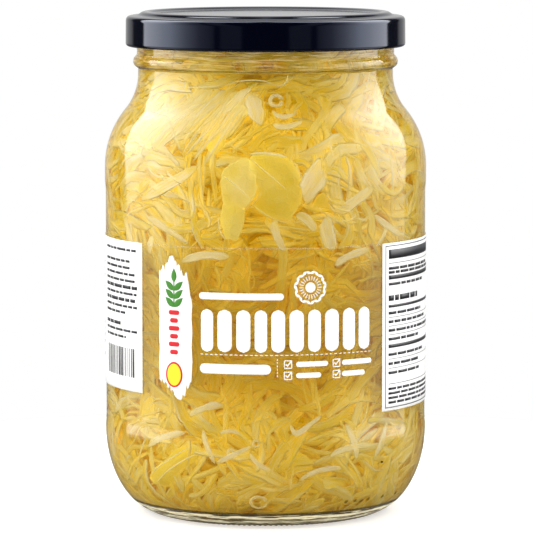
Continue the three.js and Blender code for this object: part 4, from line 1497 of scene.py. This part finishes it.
class KRAUT_OT_leaves(Operator):
    """Build the pieces of leaf: the folded one at the front, yellow ones and many small ones"""

    bl_idname = "kraut.leaves"
    bl_label = "Leaf pieces"

    def execute(self, context):
        jar = context.scene.kraut_jar
        settings = context.scene.kraut_cabbage
        wall = Wall(jar.wall, jar.floor)
        rng = np.random.default_rng(settings.seed + 1)
        small = self.small_pieces(wall, rng, settings.flakes)

        def piece(degrees, height, reach, depth, thick, tone, *more, **form):
            return leaf(wall, math.radians(degrees), height, reach, depth, thick, tone, rng, *more, **form)

        folded = [
            piece(3.5, 0.1270, (0.012, 0.012), 0.0008, 0.0004, 0.3, 0.0004, 18, 120,
                  outline=BIG_LOBE, ridge=(-40.4, 0.0019, 0.10)),
            piece(-10.0, 0.1270, (0.010, 0.010), 0.00032, 0.0004, 0.75, 0.00025, 14, 96,
                  outline=LEFT_LOBE, ridge=(-38.8, 0.0, 0.09)),
            piece(-12.2, 0.1140, (0.006, 0.006), 0.0007, 0.0004, 0.65, 0.0002, 10, 72,
                  outline=TAIL_LOBE, ridge=(80.0, 0.0, 0.12)),
            piece(-11.3, 0.1535, (0.0034, 0.0023), 0.0004, 0.0012, 0.9, 0.0001, 7, 30, -0.5),
        ]
        yellow = [
            piece(-38.4, 0.0222, (0.008, 0.008), 0.0003, 0.0005, 0.25, 0.0003, 14, 90,
                  outline=YELLOW_LEAF, ridge=(38.0, 0.0005, 0.16)),
            piece(-20.1, 0.1459, (0.0044, 0.0078), 0.0006, 0.0006, 0.7, 0.0003, 9, 40, 0.2,
                  ridge=(100.0, 0.0, 0.14)),
            piece(24.0, 0.1199, (0.0062, 0.0056), 0.0016, 0.0006, 0.5, 0.0003, 9, 40),
            piece(30.5, 0.1360, (0.0066, 0.0058), 0.0012, 0.0006, 0.7, 0.0003, 9, 40),
            piece(-39.6, 0.1312, (0.0060, 0.0050), 0.0016, 0.0006, 0.6, 0.0003, 8, 36),
            piece(-49.5, 0.0428, (0.0048, 0.0060), 0.0010, 0.0006, 0.3, 0.0003, 8, 36),
            piece(150.0, 0.0900, (0.0085, 0.0070), 0.0008, 0.0006, 0.4, 0.0003, 9, 40),
            piece(-120.0, 0.1300, (0.0085, 0.0070), 0.0008, 0.0006, 0.4, 0.0003, 9, 40),
        ]
        verts, faces, _ = piece(48.0, 0.0239, (0.0006, 0.0004), 0.0002, 0.0004, 0.0, 0.00005, 3, 14)
        pale_leaf = leaf_finish("pale_leaf", settings.pale, settings.golden)
        folded_leaf = leaf_finish("folded_leaf", [0.97, 0.92, 0.58], [0.88, 0.81, 0.22])
        yellow_leaf = leaf_finish("yellow_leaf", [0.95, 0.84, 0.32], settings.yellow)
        self.leaf_piece("leaf_pieces", small, pale_leaf)
        make_piece("dark_speck", verts, faces, ink_finish("dark_speck", (0.03, 0.02, 0.012)))
        self.leaf_piece("folded_leaf", folded, folded_leaf)
        self.leaf_piece("yellow_leaves", yellow, yellow_leaf)
        return {"FINISHED"}

    @staticmethod
    def leaf_piece(name, leaves, finish):
        verts, faces, grain = pooled(leaves)
        make_piece(name, verts, faces, finish, grain=grain)

    @staticmethod
    def small_pieces(wall, rng, count):
        """Torn pieces of leaf all round the jar."""
        leaves = []
        for i in range(count):
            angle, height = i * GOLDEN_ANGLE + 0.4, 0.014 + 0.162 * ((i + rng.random()) / count)
            depth = rng.uniform(0.0006, 0.0026) + pressed(wall, np.array([angle]), wall.t_at(height))[0] * 1.5
            size = rng.uniform(0.0024, 0.0050)
            leaves.append(leaf(
                wall, angle, height, (size, size), depth, 0.0004, rng.random(), rng, ripple=0.00025, rings=5,
                spokes=32, outline=torn_rim(wall, angle, height, size, rng),
            ))
        return leaves


class KRAUT_OT_brine(Operator):
    """Fill the jar with brine that reaches just into the glass"""

    bl_idname = "kraut.brine"
    bl_label = "Brine"

    def execute(self, context):
        jar = context.scene.kraut_jar
        wall = Wall(jar.wall, jar.floor)
        t = np.linspace(0, wall.t_at(BRINE_TOP), 120)
        side = np.column_stack(wall.inset(t, -BRINE_REACH))
        side[0, 0] = 0
        top_r, top_z = side[-1]
        profile = joined(side, (top_r - 0.001, top_z + 0.0003), (0, top_z + 0.0003))
        verts, faces = turned(profile, 132)
        make_piece("brine", verts, faces, brine_finish(context.scene.kraut_cabbage))
        return {"FINISHED"}


class KRAUT_OT_stage(Operator):
    """Set the pale floor, the studio light and the camera"""

    bl_idname = "kraut.stage"
    bl_label = "Stage"

    def execute(self, context):
        settings = context.scene.kraut_stage
        self.floor()
        self.room(context.scene, settings)
        aim = Vector((0, 0, 0.095))
        for side, share in ((-1, 2.05), (1, 1.3)):
            self.lamp("side_softbox", (side * 0.85, -0.1, 0.40), aim, (0.7, 1.2), settings.softbox * share)
        self.lamp("front_softbox", (0, -1.35, 0.75), aim, (1.5, 1.2), settings.front)
        self.lamp("top_softbox", (0, 0.1, 1.1), aim, (1.0, 1.0), settings.softbox)
        self.camera(context.scene, settings)
        context.scene.view_settings.view_transform = "Standard"
        self.light_paths(context.scene)
        return {"FINISHED"}

    @staticmethod
    def floor():
        count, radius = 96, 0.26
        angles = np.linspace(0, 2 * math.pi, count, endpoint=False)
        rim = np.column_stack((radius * np.sin(angles), radius * np.cos(angles), np.zeros(count)))
        mesh = bpy.data.meshes.new("pale_floor")
        mesh.from_pydata(rim.tolist(), [], [tuple(reversed(range(count)))])
        material, nodes = new_finish("pale_floor")
        pale = nodes.principled(
            Base_Color=(0.88, 0.88, 0.88, 1.0), Roughness=0.8, Specular_IOR_Level=0.1,
            Emission_Color=(1.0, 1.0, 1.0, 1.0), Emission_Strength=0.42,
        )
        x, y, _ = nodes.split(nodes.place())
        near = nodes.span(x * x + y * y, 0.047**2, 0.051**2, 1.0, 0.03)
        glare = nodes.blend(near, (0.0, 0.0, 0.0, 1.0), (1.0, 1.0, 1.0, 1.0))
        dark = nodes.principled(
            Base_Color=(0.1, 0.1, 0.1, 1.0), Roughness=1.0, Emission_Color=glare, Emission_Strength=0.15
        )
        mixed = {0: nodes.mirror_ray(), 1: pale, 2: dark}
        nodes.finish(nodes.add("ShaderNodeMixShader", None, mixed)["Shader"])
        mesh.materials.append(material)
        floor = bpy.data.objects.new("pale_floor", mesh)
        floor.location.z = -0.0001
        bpy.context.scene.collection.objects.link(floor)

    @staticmethod
    def room(scene, settings):
        """An even white room, with softboxes and a dark front for what mirrors it."""
        scene.world = bpy.data.worlds.new("studio")
        scene.world.use_nodes = True
        nodes = Finish(scene.world.node_tree)
        right, ahead, up = nodes.split(nodes.add("ShaderNodeTexCoord")["Generated"])
        azimuth = abs(right.math("ARCTAN2", right, ahead * -1.0)) * (1 / math.pi)
        around = nodes.ramp(azimuth - 0.2 * up.math("MAXIMUM", up, 0.0), ROOM_STOPS)
        lift = nodes.span(up, 0.0, 0.7, 1.0, 2.0, smooth=True)
        low = nodes.span(up, -0.115, -0.07, 0.35, 1.0, smooth=True)
        mirrored = around * lift * low * settings.mirrored
        mirror = nodes.mirror_ray()
        eye = nodes.add("ShaderNodeLightPath")["Is Camera Ray"]
        strength = eye + (1.0 - eye) * (mirror * mirrored + (1.0 - mirror) * settings.ambient)
        white = {"Color": (1.0, 1.0, 1.0, 1.0), "Strength": strength}
        background = nodes.add("ShaderNodeBackground", None, white)["Background"]
        nodes.add("ShaderNodeOutputWorld", None, {"Surface": background})
        scene.world.cycles.sampling_method = "NONE"

    @staticmethod
    def lamp(name, place, aim, size, brightness):
        """A lamp panel that faces a point and doesn't show in glass."""
        data = bpy.data.lights.new(name, "AREA")
        data.shape = "RECTANGLE"
        data.size, data.size_y = size
        data.energy = brightness * math.pi * size[0] * size[1]
        data.cycles.use_multiple_importance_sampling = False
        lamp = bpy.data.objects.new(name, data)
        lamp.location = place
        lamp.rotation_euler = (aim - lamp.location).to_track_quat("-Z", "Y").to_euler()
        lamp.visible_camera = False
        lamp.visible_glossy = False
        lamp.visible_transmission = False
        bpy.context.scene.collection.objects.link(lamp)

    @staticmethod
    def camera(scene, settings):
        data = bpy.data.cameras.new("camera")
        data.sensor_width = 36.0
        data.lens = settings.lens
        data.clip_start, data.clip_end = 0.05, 60.0
        camera = bpy.data.objects.new("camera", data)
        camera.location = (settings.offset, -settings.distance, settings.height)
        camera.rotation_euler = (math.pi / 2 - settings.pitch, 0, 0)
        scene.collection.objects.link(camera)
        scene.camera = camera

    @staticmethod
    def light_paths(scene):
        """Enough bounces for brine inside glass."""
        scene.cycles.max_bounces = 20
        scene.cycles.transmission_bounces = 16
        scene.cycles.diffuse_bounces = 5
        scene.cycles.transparent_max_bounces = 32
        scene.cycles.caustics_reflective = False


class KRAUT_PT_panel(Panel):
    """Lists the settings and the pieces"""

    bl_label = "Sauerkraut jar"
    bl_idname = "KRAUT_PT_panel"
    bl_space_type = "VIEW_3D"
    bl_region_type = "UI"
    bl_category = "Sauerkraut"

    def draw(self, context):
        for name in SETTINGS:
            box = self.layout.box()
            group = getattr(context.scene, name)
            for prop in group.__annotations__:
                box.prop(group, prop)
        for operator in OPERATORS:
            self.layout.operator(operator.bl_idname)


SETTINGS = {
    "kraut_jar": JarSettings,
    "kraut_lid": LidSettings,
    "kraut_label": LabelSettings,
    "kraut_cabbage": CabbageSettings,
    "kraut_stage": StageSettings,
}
OPERATORS = (
    KRAUT_OT_glass,
    KRAUT_OT_lid,
    KRAUT_OT_label,
    KRAUT_OT_core,
    KRAUT_OT_shreds,
    KRAUT_OT_leaves,
    KRAUT_OT_brine,
    KRAUT_OT_stage,
)
CLASSES = (*SETTINGS.values(), *OPERATORS, KRAUT_PT_panel)


def register():
    for cls in CLASSES:
        bpy.utils.register_class(cls)
    for name, group in SETTINGS.items():
        setattr(bpy.types.Scene, name, PointerProperty(type=group))


def unregister():
    for name in SETTINGS:
        delattr(bpy.types.Scene, name)
    for cls in reversed(CLASSES):
        bpy.utils.unregister_class(cls)


def main():
    register()
    bpy.ops.kraut.glass()
    bpy.ops.kraut.lid()
    bpy.ops.kraut.label()
    bpy.ops.kraut.core()
    bpy.ops.kraut.shreds()
    bpy.ops.kraut.leaves()
    bpy.ops.kraut.brine()
    bpy.ops.kraut.stage()


if __name__ == "__main__":
    main()
